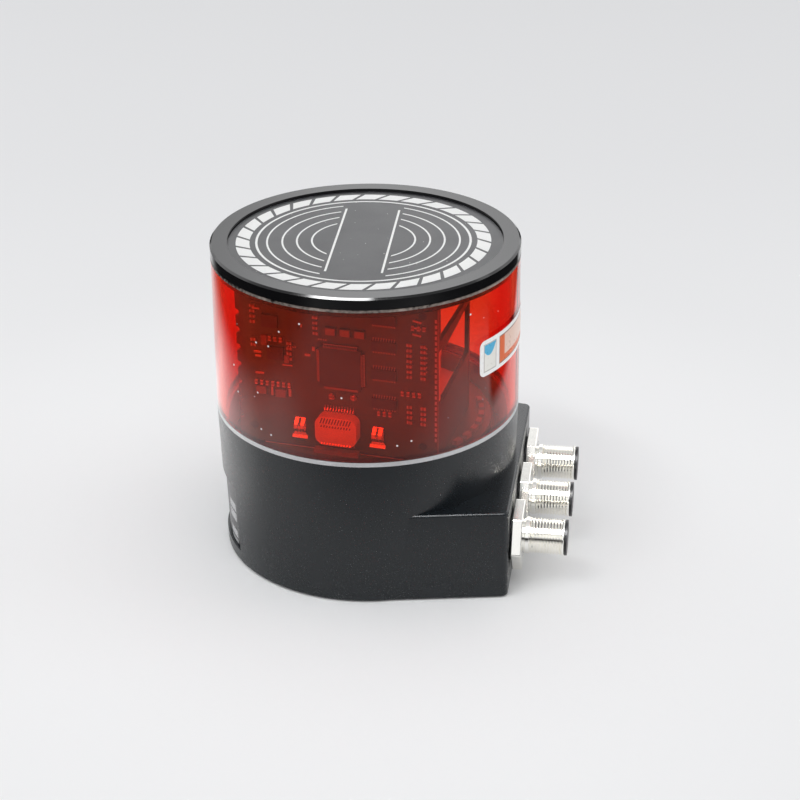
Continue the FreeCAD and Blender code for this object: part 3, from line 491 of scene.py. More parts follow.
# %% Where the head rests
def front_of(node):
    """Outward direction of a node's two largest flat faces, on the side away from the axis."""
    areas = {}
    for face in nodes[node].data.polygons:
        key = tuple(round(c, 3) for c in face.normal)
        areas[key] = areas.get(key, 0.0) + face.area
    largest = sorted(areas, key=areas.get)[-2:]
    middle = (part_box(node)[0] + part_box(node)[1]) / 2
    return max((Vector(key).normalized() for key in largest), key=lambda way: way.dot(middle))


board_way = front_of("head_board")
head_angle = math.atan2(board_way.x, -board_way.y)
to_head = Matrix.Rotation(-head_angle, 4, "Z")
from_head = Matrix.Rotation(head_angle, 4, "Z")
print("head rests at", round(head_angle / DEG, 2), "degrees")

# %% Solids of a node, square to the board
def solids_in(node):
    """Lowest and highest corner of each separate solid of a node, measured square to the upright board."""
    mesh = nodes[node].data
    spots = [tuple(round(c, 6) for c in to_head @ vertex.co) for vertex in mesh.vertices]
    parent = {spot: spot for spot in spots}

    def root(spot):
        while parent[spot] != spot:
            spot = parent[spot]
        return spot

    for face in mesh.polygons:
        first = root(spots[face.vertices[0]])
        for other in face.vertices[1:]:
            parent[root(spots[other])] = first
    groups = {}
    for spot in parent:
        groups.setdefault(root(spot), []).append(spot)
    return [(Vector(map(min, *group)), Vector(map(max, *group))) for group in groups.values()]


board_low, board_high = solids_in("head_board")[0]
board_face = board_low.y
print("upright board: face at y", round(board_face / MM, 2), "half width", round(board_high.x / MM, 2), "mm")

# %% Board finish
mask_green = (0.10, 0.15, 0.07)
track_colour = (0.16, 0.17, 0.07, 1)
track_share = 0.35
bare_fibre = (0.22, 0.17, 0.09, 1)
edge_skin = 0.05 * MM
painted_light_field = (0.95, 0.80, 0.70, 1)
painted_light_half = 24.5 * MM
track_lines = {"Scale": 95.0, "Mortar Size": 0.012, "Mortar Smooth": 0.3, "Brick Width": 0.9,
               "Row Height": 0.16}
track_steps = {"offset": 0.37, "squash": 0.6, "squash_frequency": 3}


def board_mask(name, upright=False, painted_light_behind=False):
    """Green solder mask with faint tracks. The upright board has sawn edges, the round one a painted pool of
    light.
    """
    material, tree, shader, skin = finish(name, mask_green, 0.34, grain=1400, tone=0.2, relief=0.08)
    x, y, z = place_axes(tree, -head_angle)
    flat = add_node(tree, "CombineXYZ", {0: x, 1: z if upright else y})[0]
    tracks = add_node(tree, "TexBrick", {"Vector": flat, **track_lines}, **track_steps)["Fac"]
    patches = [(product(tree, tracks, track_share), track_colour)]
    from_middle = calculate(tree, "ABSOLUTE", x)
    if upright:
        sawn = within(tree, (from_middle, board_high.x - edge_skin, None))
        patches.append((sawn, bare_fibre))
    if painted_light_behind:
        # Behind the upright board the round board is painted pale: a painted pool of light.
        behind = within(tree, (y, board_face, None), (from_middle, None, painted_light_half))
        patches.append((behind, painted_light_field))
    paint(tree, shader, skin, patches)
    return material


wear("head_board", board_mask("head_board_mask", upright=True))
wear("round_board", board_mask("round_board_mask", painted_light_behind=True))
flat_board_mask = board_mask("flat_board_mask")
for node in ("main_board", "connector_board", "receiver_board", "laser_board"):
    wear(node, flat_board_mask)
print("boards dressed")

# %% Bracket with a painted highlight
edge_bottom = 66.0 * MM
edge_top = 83.0 * MM
edge_depth = 6.0 * MM
painted_edge_highlight = (0.85, 0.74, 0.66, 1)

bracket_frame, tree, shader, skin = finish("bracket_frame", inner_finishes["bracket_plastic"][0], 0.45)
x, y, z = place_axes(tree, -head_angle)
# A pale strip along the bracket's edge: a painted highlight, not the plastic's colour.
edge_highlight_mask = within(tree, (x, 0.0, None), (y, None, board_face + edge_depth), (z, edge_bottom, edge_top))
paint(tree, shader, skin, [(edge_highlight_mask, painted_edge_highlight)])
wear("optics_bracket", bracket_frame)
print("bracket dressed")

# %% [markdown]
# ## Red window and lenses
# The window is a tube of clear red polycarbonate, open to infrared and dark to the rest. Glass is a
# Principled shader with full transmission, whose colour tints what passes. Where the wall is seen aslant,
# light takes a longer way through it, so the tint deepens with the angle. A glass wall would cast a solid
# shadow on the parts behind it, so rays on their way to a lamp see a tinted clear film in its place.

# %% Window and lens glass
aslant_start = 0.40
aslant_end = 0.56


def make_glass(name, tint, deep_tint, bending, haze, smudge_scale):
    """Tinted glass that lets lamp light through: deeper where seen aslant, and faintly smudged."""
    material, tree, shader = new_material(name)
    facing = add_node(tree, "LayerWeight", {"Blend": 0.5})["Facing"]
    colour = blend_colours(tree, ramp(tree, facing, aslant_start, aslant_end), (*tint, 1), (*deep_tint, 1))
    values = {"Scale": smudge_scale, "Roughness": haze, "Gloss Spread": haze}
    smudges = add_node(tree, "Group", values, node_tree=surface_grain)
    fill(tree, shader, {"Base Color": colour, "Roughness": smudges["Roughness"],
                        "Transmission Weight": 1.0, "IOR": bending})
    clear = add_node(tree, "BsdfTransparent", {"Color": (*map(math.sqrt, tint), 1)})[0]
    to_lamp = add_node(tree, "LightPath")["Is Shadow Ray"]
    either = add_node(tree, "MixShader", {0: to_lamp, 1: shader.outputs[0], 2: clear})[0]
    fill(tree, tree.nodes["Material Output"], {"Surface": either})
    return material


wear("window", make_glass("window_red", tint=(0.97, 0.165, 0.075), deep_tint=(0.92, 0.02, 0.008),
                          bending=1.58, haze=0.012, smudge_scale=300))
lens_glass = make_glass("lens_glass", tint=(0.80, 0.86, 0.90), deep_tint=(0.70, 0.78, 0.84),
                        bending=1.5, haze=0.01, smudge_scale=400)
wear("receiver_lens", lens_glass)
wear("emitter_lens", lens_glass)
print("glass on window and lenses")

# %% [markdown]
# ## Sticker and nameplate
# A small coated label wraps round the window beside the connectors. Its words and picture are left off: what
# stays are its fields of colour, a white one with a blue wave and an orange one, inside a white border. They
# are painted by place, from the angle round the scan axis and the height, so they follow the curve. The black
# film in the pocket of the base keeps four pale blocks in the same way, where its lines of print stood. Each
# row of the sticker's table holds first and last angle in degrees, the distances from its lower and upper
# edge in millimetres, and the colour. The blue field is cut off below a curved line.

# %% Fields by angle and height
def round_places(tree):
    """Angle round the scan axis, and height, of a spot on the object."""
    x, y, z = place_axes(tree)
    return calculate(tree, "ARCTAN2", y, x), z


def field(tree, place, first_angle, last_angle, bottom, top):
    """A mask that is 1 inside a patch of angles and heights."""
    return within(tree, (place[0], first_angle, last_angle), (place[1], bottom, top))


print("fields ready")

# %% Nameplate blocks
block_start = -155.8 * DEG
block_end = -147.5 * DEG
block_heights = [(16.9, 19.7), (13.0, 16.1), (6.8, 9.4), (3.2, 6.0)]
pale_print = (0.42, 0.42, 0.43, 1)

nameplate_film, tree, shader, skin = finish("nameplate_film", (0.014, 0.014, 0.016), 0.3, grain=1200)
place = round_places(tree)
paint(tree, shader, skin, [(field(tree, place, block_start, block_end, bottom * MM, top * MM), pale_print)
                           for bottom, top in block_heights])
wear("nameplate", nameplate_film)
print("nameplate blocks:", len(block_heights))

# %% Sticker fields
sticker_fields = {
    "orange line": (-24.6, 5.4, 1.3, 1.3, (0.35, 0.20, 0.16, 1)),
    "orange": (-24.15, 5.4, 1.7, 1.7, (0.80, 0.17, 0.06, 1)),
    "pale": (-20.6, 3.4, 3.5, 1.7, (0.86, 0.62, 0.52, 1)),
    "grey line": (-34.2, -26.6, 1.3, 1.3, (0.55, 0.52, 0.50, 1)),
    "white": (-33.75, -27.05, 1.7, 1.7, (0.84, 0.83, 0.78, 1)),
    "blue wave": (-33.75, -27.05, 1.7, 1.7, (0.10, 0.46, 0.72, 1)),
}
wave_start = 0.78
wave_fall = -1.08
wave_curve = 1.3

sticker_low, sticker_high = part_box("window_sticker")
sticker_print, tree, shader, skin = finish("sticker_print", (0.93, 0.93, 0.92), 0.3, grain=900, tone=0.08)
place = round_places(tree)
patches = {}
for name, (first, last, foot, head, colour) in sticker_fields.items():
    edges = (first * DEG, last * DEG, sticker_low.z + foot * MM, sticker_high.z - head * MM)
    patches[name] = (field(tree, place, *edges), colour)
    if name == "grey line":
        left, right, bottom, top = edges
across = calculate(tree, "DIVIDE", calculate(tree, "SUBTRACT", place[0], left), right - left)
upward = calculate(tree, "DIVIDE", calculate(tree, "SUBTRACT", place[1], bottom), top - bottom)
slope = calculate(tree, "MULTIPLY_ADD", across, wave_curve, wave_fall)
wave = calculate(tree, "MULTIPLY_ADD", across, slope, wave_start)
mask, colour = patches["blue wave"]
patches["blue wave"] = (product(tree, mask, within(tree, (upward, wave, None))), colour)
paint(tree, shader, skin, patches.values())
wear("window_sticker", sticker_print)
print("sticker fields:", len(patches))

# %% [markdown]
# ## Film on the cap
# The recess in the cap holds a dark grey film with white print: a ring of slanted dashes, a full circle, and
# arcs that stop at a bare band across the middle, where the maker's words stood. The film keeps its CAD
# solid, and the print is modelled as a raised layer of ink, thin as it is, so that it is crisp at any
# distance.

# %% Film finish
film_grey = (0.022, 0.0225, 0.025)
label_film, tree, shader, skin = finish("label_film", film_grey, 0.36, grain=2200, tone=0.3, relief=0.25)
paint(tree, shader, skin, [dust(tree, scale=240, share=0.05, size=0.05)])
wear("top_label", label_film)
print("film dressed")

# %% Modelling helpers
def start_clean():
    """Object mode with nothing selected: an operator acts on all that is selected."""
    if bpy.context.object and bpy.context.object.mode != "OBJECT":
        bpy.ops.object.mode_set(mode="OBJECT")
    bpy.ops.object.select_all(action="DESELECT")


def pick(piece):
    """Select one piece and make it active."""
    start_clean()
    piece.select_set(True)
    bpy.context.view_layer.objects.active = piece


def edit(piece):
    """Edit mode on one piece, with all of it selected."""
    pick(piece)
    bpy.ops.object.mode_set(mode="EDIT")
    bpy.ops.mesh.select_mode(type="VERT")
    bpy.ops.mesh.select_all(action="SELECT")


def edit_some(piece, kind, test):
    """Edit mode on one piece, with those vertices or faces selected that pass a test."""
    edit(piece)
    bpy.ops.mesh.select_mode(type=kind)
    bpy.ops.mesh.select_all(action="DESELECT")
    bpy.ops.object.mode_set(mode="OBJECT")
    for element in piece.data.vertices if kind == "VERT" else piece.data.polygons:
        element.select = test(element)
    bpy.ops.object.mode_set(mode="EDIT")


def join(pieces, name):
    """Make several objects one piece."""
    pick(pieces[0])
    for piece in pieces[1:]:
        piece.select_set(True)
    if len(pieces) > 1:
        bpy.ops.object.join()
    whole = bpy.context.object
    whole.name = name
    whole.data.name = name
    return whole


def settle(piece):
    """Put an object's place into its mesh, so that it sits at the origin."""
    pick(piece)
    bpy.ops.object.transform_apply(location=True, rotation=True, scale=True)


def primitive(add, scale=(1, 1, 1), **values):
    """A basic shape from one of Blender's add operators, with its place, turn and scale put into its mesh."""
    start_clean()
    add(**values)
    piece = bpy.context.object
    piece.scale = scale
    settle(piece)
    return piece


def face_outward():
    """Leave edit mode with all faces turned outward."""
    bpy.ops.mesh.select_all(action="SELECT")
    bpy.ops.mesh.normals_make_consistent(inside=False)
    start_clean()


def thicken(height):
    """Leave edit mode with the whole flat sheet raised by a height."""
    bpy.ops.mesh.select_all(action="SELECT")
    bpy.ops.mesh.extrude_region_move(TRANSFORM_OT_translate={"value": (0, 0, height)})
    face_outward()


print("modelling helpers ready")

# %% Rings of ink
label_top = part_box("top_label")[1].z
label_middle = (0, 0, label_top)
ink_height = 0.06 * MM
ring_corners = 360
circle_radius = 34.2 * MM
circle_width = 0.75 * MM


def flat_ring(middle_radius, width):
    """A flat ring in edit mode: a circle on the film whose edge loop is extruded and drawn in."""
    outer = middle_radius + width / 2
    ring = primitive(bpy.ops.mesh.primitive_circle_add, vertices=ring_corners, radius=outer,
                     location=label_middle)
    edit(ring)
    bpy.ops.mesh.extrude_edges_move(TRANSFORM_OT_translate={"value": (0, 0, 0)})
    shrink = (middle_radius - width / 2) / outer
    bpy.ops.transform.resize(value=(shrink, shrink, 1), center_override=label_middle)
    return ring


full_circle = flat_ring(circle_radius, circle_width)
thicken(ink_height)
print("full circle:", len(full_circle.data.polygons), "faces")

# %% Slanted dashes
dash_count = 30
dash_inner = 36.4 * MM
dash_outer = 40.8 * MM
dash_middle = (dash_inner + dash_outer) / 2
dash_slant = 4.8 * DEG
gap_cells = 2
cells_per_dash = ring_corners // dash_count
cell_angle = math.tau / ring_corners


def in_gap(face):
    """True for the faces of the ring that fall between two dashes."""
    turn = math.atan2(face.center.y, face.center.x) % math.tau
    return int(turn / cell_angle) % cells_per_dash < gap_cells


dashes = flat_ring(dash_middle, dash_outer - dash_inner)
edit_some(dashes, "FACE", in_gap)
bpy.ops.mesh.delete(type="FACE")
edit_some(dashes, "VERT", lambda vertex: vertex.co.xy.length > dash_middle)
bpy.ops.transform.rotate(value=dash_slant, orient_axis="Z", center_override=label_middle)
thicken(ink_height)
print("dash ring:", len(dashes.data.polygons), "faces")

# %% Arcs beside the bare band
band_half_width = 8.8 * MM
arc_radii = [r * MM for r in (30.8, 25.95, 21.3, 16.5)]
arc_width = 0.6 * MM
arc_gap = 1.4 * MM


def arc(radius, side):
    """One half of a ring, cut short of the bare band."""
    ring = flat_ring(radius, arc_width)
    bpy.ops.mesh.select_all(action="SELECT")
    bpy.ops.mesh.bisect(plane_co=(side * (band_half_width + arc_gap), 0, label_top), plane_no=(side, 0, 0),
                        clear_inner=True)
    thicken(ink_height)
    return ring


arcs = [arc(radius, side) for radius in arc_radii for side in (-1, 1)]
print("arcs:", len(arcs))

# %% Band lines, and the whole print
line_half_length = 27.0 * MM
line_width = 0.7 * MM
line_rounding = 0.3 * line_width
label_turn = 2.7 * DEG
dash_turn = -4.6 * DEG
label_place = (-0.6 * MM, -0.3 * MM, 0)


def band_line(side):
    """A straight line with rounded ends along one side of the bare band."""
    line = primitive(bpy.ops.mesh.primitive_plane_add, (line_width, 2 * line_half_length, 1), size=1,
                     location=(side * band_half_width, 0, label_top))
    edit(line)
    bpy.ops.mesh.bevel(offset=line_rounding, segments=3, affect="VERTICES")
    thicken(ink_height)
    return line


dashes.rotation_euler.z = dash_turn - label_turn
settle(dashes)
label_print = join([full_circle, dashes] + arcs + [band_line(side) for side in (-1, 1)], "label_print")
label_print.rotation_euler.z = label_turn
label_print.location = label_place
settle(label_print)
label_ink = finish("label_ink", (0.80, 0.80, 0.79), 0.4, grain=1600, tone=0.12)[0]
wear(label_print, label_ink)
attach(label_print, "housing")
print("label print:", len(label_print.data.polygons), "faces")

# %% [markdown]
# ## Threaded connectors
# Three round connectors stand on the side: a nickel-plated shell with a hexagon flange, a narrow neck and a
# thread of 1 mm pitch between two smooth collars. A bump could fake the thread, but its silhouette would stay
# straight. One tooth drawn as a line and run through a Screw modifier gives the true helix, cut flat at both
# ends.

# %% Lines and modifiers
def draw_line(points):
    """Edges through points, as by hand: one vertex, extruded from point to point."""
    line = primitive(bpy.ops.mesh.primitive_plane_add, size=MM)
    edit(line)
    bpy.ops.mesh.merge(type="CENTER")
    bpy.ops.transform.translate(value=points[0])
    for here, there in zip(points, points[1:]):
        step = Vector(there) - Vector(here)
        bpy.ops.mesh.extrude_region_move(TRANSFORM_OT_translate={"value": step})
    return line


def weld(reach):
    """In edit mode: merge points that lie closer than a reach."""
    bpy.ops.mesh.select_all(action="SELECT")
    bpy.ops.mesh.remove_doubles(threshold=reach)


def modify(piece, kind, **settings):
    """Put a modifier on a piece and make it part of the mesh."""
    pick(piece)
    modifier = piece.modifiers.new(kind, kind)
    for key, value in settings.items():
        setattr(modifier, key, value)
    bpy.ops.object.modifier_apply(modifier=kind)
    start_clean()


def bevel(piece, offset, segments=1):
    """Round all edges of a piece."""
    edit(piece)
    bpy.ops.mesh.bevel(offset=offset, segments=segments, affect="EDGES")
    start_clean()


def shift(piece, x, y, z):
    """Move a piece's mesh."""
    start_clean()
    piece.data.transform(Matrix.Translation((x, y, z)))


print("lines and modifiers ready")

# %% Connector sizes
shell_low, shell_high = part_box("connector_shell_middle")
shell_axis_z = (shell_low.z + shell_high.z) / 2
hex_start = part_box("connector_seals")[1].x
hex_length = 3.4 * MM
hex_end = hex_start + hex_length
hex_flats = 20.0 * MM
hex_turn = 7 * DEG
hex_soften = 0.35 * MM
tail_radius = 7.0 * MM
neck_radius = 5.3 * MM
neck_length = 0.5 * MM
thread_radius = 6.0 * MM
thread_root = 5.45 * MM
thread_pitch = 1.0 * MM
core = thread_root - 0.05 * MM
first_collar = 1.6 * MM
last_collar = 0.9 * MM
thread_start = hex_end + neck_length
thread_low = thread_start + first_collar
thread_high = shell_high.x - last_collar
bore_radius = 4.95 * MM
rim = 0.4 * MM
collar_rim = rim / 2
turn_steps = 48
print("thread from", round(thread_start / MM, 2), "to", round(shell_high.x / MM, 2), "mm")

# %% Turned body
def along_x(pairs):
    """Points of an outline given as place along X and radius, on the connector's axis."""
    return [(x, 0, shell_axis_z + r) for x, r in pairs]


outline = along_x([
    (shell_low.x, bore_radius), (shell_low.x, tail_radius), (hex_end, tail_radius), (hex_end, neck_radius),
    (thread_start, neck_radius), (thread_start, thread_radius - collar_rim),
    (thread_start + collar_rim, thread_radius), (thread_low - collar_rim, thread_radius),
    (thread_low, thread_radius - collar_rim), (thread_low, core), (thread_high, core),
    (thread_high, thread_radius - collar_rim), (thread_high + collar_rim, thread_radius),
    (shell_high.x - rim, thread_radius), (shell_high.x, thread_radius - rim), (shell_high.x, bore_radius)])
shell_body = draw_line(outline + outline[:1])
weld(0.01 * MM)
bpy.ops.mesh.spin(steps=turn_steps, angle=math.tau, center=(0, 0, shell_axis_z), axis=(1, 0, 0))
weld(0.001 * MM)
face_outward()
print("turned body:", len(shell_body.data.polygons), "faces")

# %% Helical thread
crest = 0.16 * thread_pitch
flank = 0.36 * thread_pitch
end_gap = 0.01 * MM
turns = math.ceil((thread_high - thread_low) / thread_pitch) + 2
wind_start = thread_low - thread_pitch
tooth = draw_line(along_x([
    (wind_start, thread_root), (wind_start + flank, thread_radius),
    (wind_start + flank + crest, thread_radius), (wind_start + 2 * flank + crest, thread_root),
    (wind_start + thread_pitch, thread_root)]))
shift(tooth, 0, 0, -shell_axis_z)
modify(tooth, "SCREW", axis="X", screw_offset=thread_pitch, iterations=turns, steps=turn_steps,
       render_steps=turn_steps)
edit(tooth)
weld(0.002 * MM)
for cut, keep_after in ((thread_low + end_gap, True), (thread_high - end_gap, False)):
    bpy.ops.mesh.select_all(action="SELECT")
    bpy.ops.mesh.bisect(plane_co=(cut, 0, 0), plane_no=(1, 0, 0), clear_inner=keep_after,
                        clear_outer=not keep_after)
face_outward()
shift(tooth, 0, 0, shell_axis_z)
print("thread:", len(tooth.data.polygons), "faces,", turns - 2, "turns shown")

# %% Hexagon flange and three copies
flange = primitive(bpy.ops.mesh.primitive_cylinder_add, vertices=6, radius=hex_flats / math.sqrt(3),
                   depth=hex_length, rotation=(0, math.pi / 2, 0))
flange.rotation_euler.x = hex_turn
flange.location = (hex_start + hex_length / 2, 0, shell_axis_z)
settle(flange)
bevel(flange, hex_soften, segments=3)
connector = join([shell_body, tooth], "connector_thread")
bpy.ops.object.shade_smooth_by_angle(angle=30 * DEG)
connector = join([connector, flange], "connector_thread")
nickel_white = (0.96, 0.945, 0.90)
nickel = finish("nickel_plate", nickel_white, 0.12, 1.0, grain=700, tone=0.12, gloss=0.1, relief=0.04)[0]
wear(connector, nickel)
wear("connector_lock_nuts", nickel)


def copy_of(source, name, place):
    """A copy with its own mesh, put at a place."""
    twin = source.copy()
    twin.data = source.data.copy()
    twin.data.transform(place)
    twin.name = name
    bpy.context.scene.collection.objects.link(twin)
    return twin


for place in ("front", "middle", "rear"):
    low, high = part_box("connector_shell_" + place)
    piece = copy_of(connector, "connector_thread_" + place, Matrix.Translation((0, (low.y + high.y) / 2, 0)))
    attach(piece, "housing")
    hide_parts("connector_shell_" + place)
bpy.data.objects.remove(connector)
print("connectors copied")

# %% [markdown]
# ## Solder legs on the head board
# The chips on the upright board stand on rows of bent legs, which catch the light through the red window. A
# leg is drawn as a line with two bends, widened by an extrude, given thickness by Solidify and repeated by an
# Array. Everything on the board is modelled square to it, and turned to where the head rests at the end.

# %% Bent strips, and one row of legs
leg_thickness = 0.12 * MM
first_bend = 0.3
second_bend = 0.6


def bent_strip(bends, width, thickness):
    """A strip of sheet metal, centred on x = 0, along a line of bends given as places along Y and Z."""
    strip = draw_line([(-width / 2, y, z) for y, z in bends])
    bpy.ops.mesh.select_all(action="SELECT")
    bpy.ops.mesh.extrude_edges_move(TRANSFORM_OT_translate={"value": (width, 0, 0)})
    modify(strip, "SOLIDIFY", thickness=thickness, offset=0)
    edit(strip)
    face_outward()
    return strip


def leg_row(width, reach, rise, count, pitch):
    """A centred row of bent legs that leave a chip upwards and step down to the board at y = 0."""
    bends = [(-rise, 0), (-rise, first_bend * reach), (-leg_thickness, second_bend * reach),
             (-leg_thickness, reach)]
    row = bent_strip(bends, width, leg_thickness)
    modify(row, "ARRAY", count=count, use_relative_offset=False, use_constant_offset=True,
           constant_offset_displace=(pitch, 0, 0))
    shift(row, -(count - 1) * pitch / 2, 0, 0)
    return row


def spread(source, places, name):
    """Copies of a source at each place, joined into one piece. The source goes."""
    twins = [copy_of(source, name, place) for place in places]
    bpy.data.objects.remove(source)
    return join(twins, name)


def on_board(x, z, quarter=0):
    """Places something modelled at the origin on the board's face, turned by quarter turns in its plane."""
    return Matrix.Translation((x, board_face, z)) @ Matrix.Rotation(quarter * math.pi / 2, 4, "Y")


print("leg row ready")

# %% Legs of the processor and the chips
wide_chip = 7 * MM
leg_exit = 0.5 * MM
big_low, big_high = solids_in("head_processor")[0]
big_middle = (big_low + big_high) / 2
big_half = (big_high.x - big_low.x) / 2
big_reach = 1.1 * MM
side_row = leg_row(width=0.26 * MM, reach=big_reach, rise=0.75 * MM, count=22, pitch=0.5 * MM)
shift(side_row, 0, -leg_exit, big_half - big_reach)
places = [on_board(big_middle.x, big_middle.z, quarter) for quarter in range(4)]
processor_legs = spread(side_row, places, "processor_legs")

chips = solids_in("head_chips")
wide_chips = [(low, high) for low, high in chips if high.x - low.x > wide_chip]
small_row = leg_row(width=0.36 * MM, reach=0.95 * MM, rise=0.55 * MM, count=9, pitch=0.84 * MM)
places = []
for low, high in wide_chips:
    middle = (low + high) / 2
    half = (high.z - low.z) / 2
    for quarter in (0, 2):
        places.append(on_board(middle.x, middle.z, quarter) @ Matrix.Translation((0, 0, half)))
chip_legs = spread(small_row, places, "chip_legs")
board_legs = join([processor_legs, chip_legs], "board_legs")
print("legs:", len(board_legs.data.polygons), "faces on", 1 + len(wide_chips), "chips")

# %% Turn with the head
def mount_on_head(piece, material):
    """Turn a piece from square to the board to where the head rests, dress it, and let it ride."""
    start_clean()
    piece.data.transform(from_head)
    wear(piece, material)
    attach(piece, "scan_head")


solder_tin = finish("solder_tin", (0.62, 0.58, 0.54), 0.35, 1.0, grain=1200)[0]
mount_on_head(board_legs, solder_tin)
print("legs ride on the scan head")

# %% [markdown]
# ## Spring clips
# Two clips of tinned spring sheet hold the board's lower edge. Such a clip is stamped flat and bent: two
# fingers slope outwards at the top and curl back in, and below them the foot flares. Each finger is a bent
# strip, and the foot is one whose upper edge is narrowed.

# %% Spring clips
clip_solids = solids_in("board_clips")
clip_size = clip_solids[0][1] - clip_solids[0][0]
clip_sheet = 0.28 * MM
clip_soften = 0.08 * MM
clip_waist = 3.4 * MM
waist_level = 0.25 * clip_size.z
finger_width = 1.35 * MM
finger_gap = 0.7 * MM
finger_bends = [(0.12, 1.0), (0.85, 0.73), (0.95, 0.55), (0.78, 0.43), (0.45, 0.37), (0.35, 0.28)]
foot_bends = [(0.35, 0.30), (0.45, 0.16), (0.62, 0.02)]
back_bends = [(0.08, 0.98), (0.08, 0.30)]


def clip_strip(bends, width):
    """A strip whose bends are shares of the clip's depth and height."""
    places = [(-depth * clip_size.y, level * clip_size.z) for depth, level in bends]
    return bent_strip(places, width, clip_sheet)


fingers = [clip_strip(finger_bends, finger_width) for side in (-1, 1)]
for finger, side in zip(fingers, (-1, 1)):
    shift(finger, side * (finger_width + finger_gap) / 2, 0, 0)
foot = clip_strip(foot_bends, clip_size.x)
edit_some(foot, "VERT", lambda vertex: vertex.co.z > waist_level)
bpy.ops.transform.resize(value=(clip_waist / clip_size.x, 1, 1), center_override=(0, 0, 0))
spring_clip = join(fingers + [foot, clip_strip(back_bends, clip_waist)], "spring_clip")
bevel(spring_clip, clip_soften)
places = [on_board((low.x + high.x) / 2, low.z) for low, high in clip_solids]
board_springs = spread(spring_clip, places, "board_springs")
mount_on_head(board_springs, finishes["clip_tin"])
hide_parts("board_clips")
print("spring clips:", len(clip_solids), "of", len(board_springs.data.polygons), "faces")

# %% [markdown]
# ## Ends of the small parts
# Every small ceramic part is soldered by a tinned cap at each end. One cap is a cube with its outer edges
# bevelled. It is copied to both ends of each solid that the CAD node holds, along that solid's longer side.

# %% End caps
def block(width, depth, tall, soften):
    """A block with bevelled edges that stands out from the plane y = 0 by its depth."""
    piece = primitive(bpy.ops.mesh.primitive_cube_add, (width, depth, tall), size=1,
                      location=(0, -depth / 2, 0))
    bevel(piece, soften)
    return piece


cap_length = 0.42 * MM
cap_swell = 0.05 * MM
small_parts = solids_in("head_passives")
first_size = small_parts[0][1] - small_parts[0][0]
part_long = max(first_size.x, first_size.z)
part_wide = min(first_size.x, first_size.z)
end_cap = block(width=part_wide + 2 * cap_swell, depth=first_size.y + cap_swell, tall=cap_length + cap_swell,
                soften=0.09 * MM)
shift(end_cap, 0, 0, (part_long - cap_length) / 2)
places = []
for low, high in small_parts:
    middle = (low + high) / 2
    across = 1 if high.x - low.x > high.z - low.z else 0
    places += [on_board(middle.x, middle.z, across), on_board(middle.x, middle.z, across + 2)]
part_ends = spread(end_cap, places, "part_ends")
mount_on_head(part_ends, solder_tin)
print("end caps:", len(places))

# %% [markdown]
# ## Pads, bars and plug pins
# A line of solder pads runs up the right edge of the board, two larger rings stand below the processor, and
# the plug has a comb of pins above and below. A ring is a short cylinder whose top is inset and pushed in.
# Between the chips lie more small parts: tinned bars, resin blocks and dots, each a bevelled block of its own
# size. Their places are listed in millimetres across the board and up from the foot.

# %% Edge pads and solder rings
pad_pitch = 1.85 * MM
pad_x = board_high.x - 0.5 * MM
pad_low = board_low.z + 8.2 * MM
pad_high = board_high.z - 0.8 * MM
ring_spots = [(-1.6 * MM, 65.0 * MM), (5.5 * MM, 65.6 * MM)]
hollow_share = 0.8


def plated_hole(radius, height, hole):
    """A low disc on the board with a hollow in its middle."""
    disc = primitive(bpy.ops.mesh.primitive_cylinder_add, vertices=12, radius=radius, depth=height,
                     location=(0, -height / 2, 0), rotation=(math.pi / 2, 0, 0))
    edit_some(disc, "FACE", lambda face: face.normal.y < -0.9)
    bpy.ops.mesh.inset(thickness=radius - hole)
    bpy.ops.transform.translate(value=(0, hollow_share * height, 0))
    start_clean()
    return disc


pad = block(width=0.7 * MM, depth=0.08 * MM, tall=1.2 * MM, soften=0.02 * MM)
pad_count = int((pad_high - pad_low) / pad_pitch)
pads = spread(pad, [on_board(pad_x, pad_low + k * pad_pitch) for k in range(pad_count)], "edge_pads")
ring = plated_hole(radius=1.15 * MM, height=0.5 * MM, hole=0.7 * MM)
rings = spread(ring, [on_board(x, z) for x, z in ring_spots], "solder_rings")
print("edge pads:", pad_count)

# %% Bars and dots
bar_spots = [(-25.6, 92.5, 2.4, 0.7), (-25.6, 77.5, 2.4, 0.8), (-25.4, 76.1, 2.0, 0.7),
             (-25.1, 70.2, 2.9, 0.7), (-21.2, 64.3, 0.8, 3.0), (-15.4, 64.4, 1.0, 2.6),
             (-11.0, 88.3, 0.6, 1.2), (-9.2, 78.5, 1.9, 0.9), (-7.2, 80.8, 1.0, 1.5), (-15.9, 74.0, 3.3, 0.5)]
slanted_spots = [(26.0, 94.1, 2.8, 0.7), (25.8, 91.9, 2.8, 0.7), (25.9, 89.6, 2.8, 0.7)]
dot_rows = [(28.9, 77.4, 0, 1.6, 6), (-15.4, 80.6, 0.75, 0, 4), (-21.0, 78.9, 0.6, 0, 6),
            (-5.4, 84.3, 0.75, 0, 4)]
bar_slant = 10 * DEG
bar_depth = 0.5 * MM
bar_soften = 0.08 * MM


def blocks_at(spots, depth, soften, slant=0.0):
    """Bevelled blocks on the board, each given by its place, width and height in millimetres."""
    pieces = []
    for x, z, wide, tall in spots:
        piece = block(wide * MM, depth, tall * MM, soften)
        piece.data.transform(on_board(x * MM, z * MM) @ Matrix.Rotation(slant, 4, "Y"))
        pieces.append(piece)
    return pieces


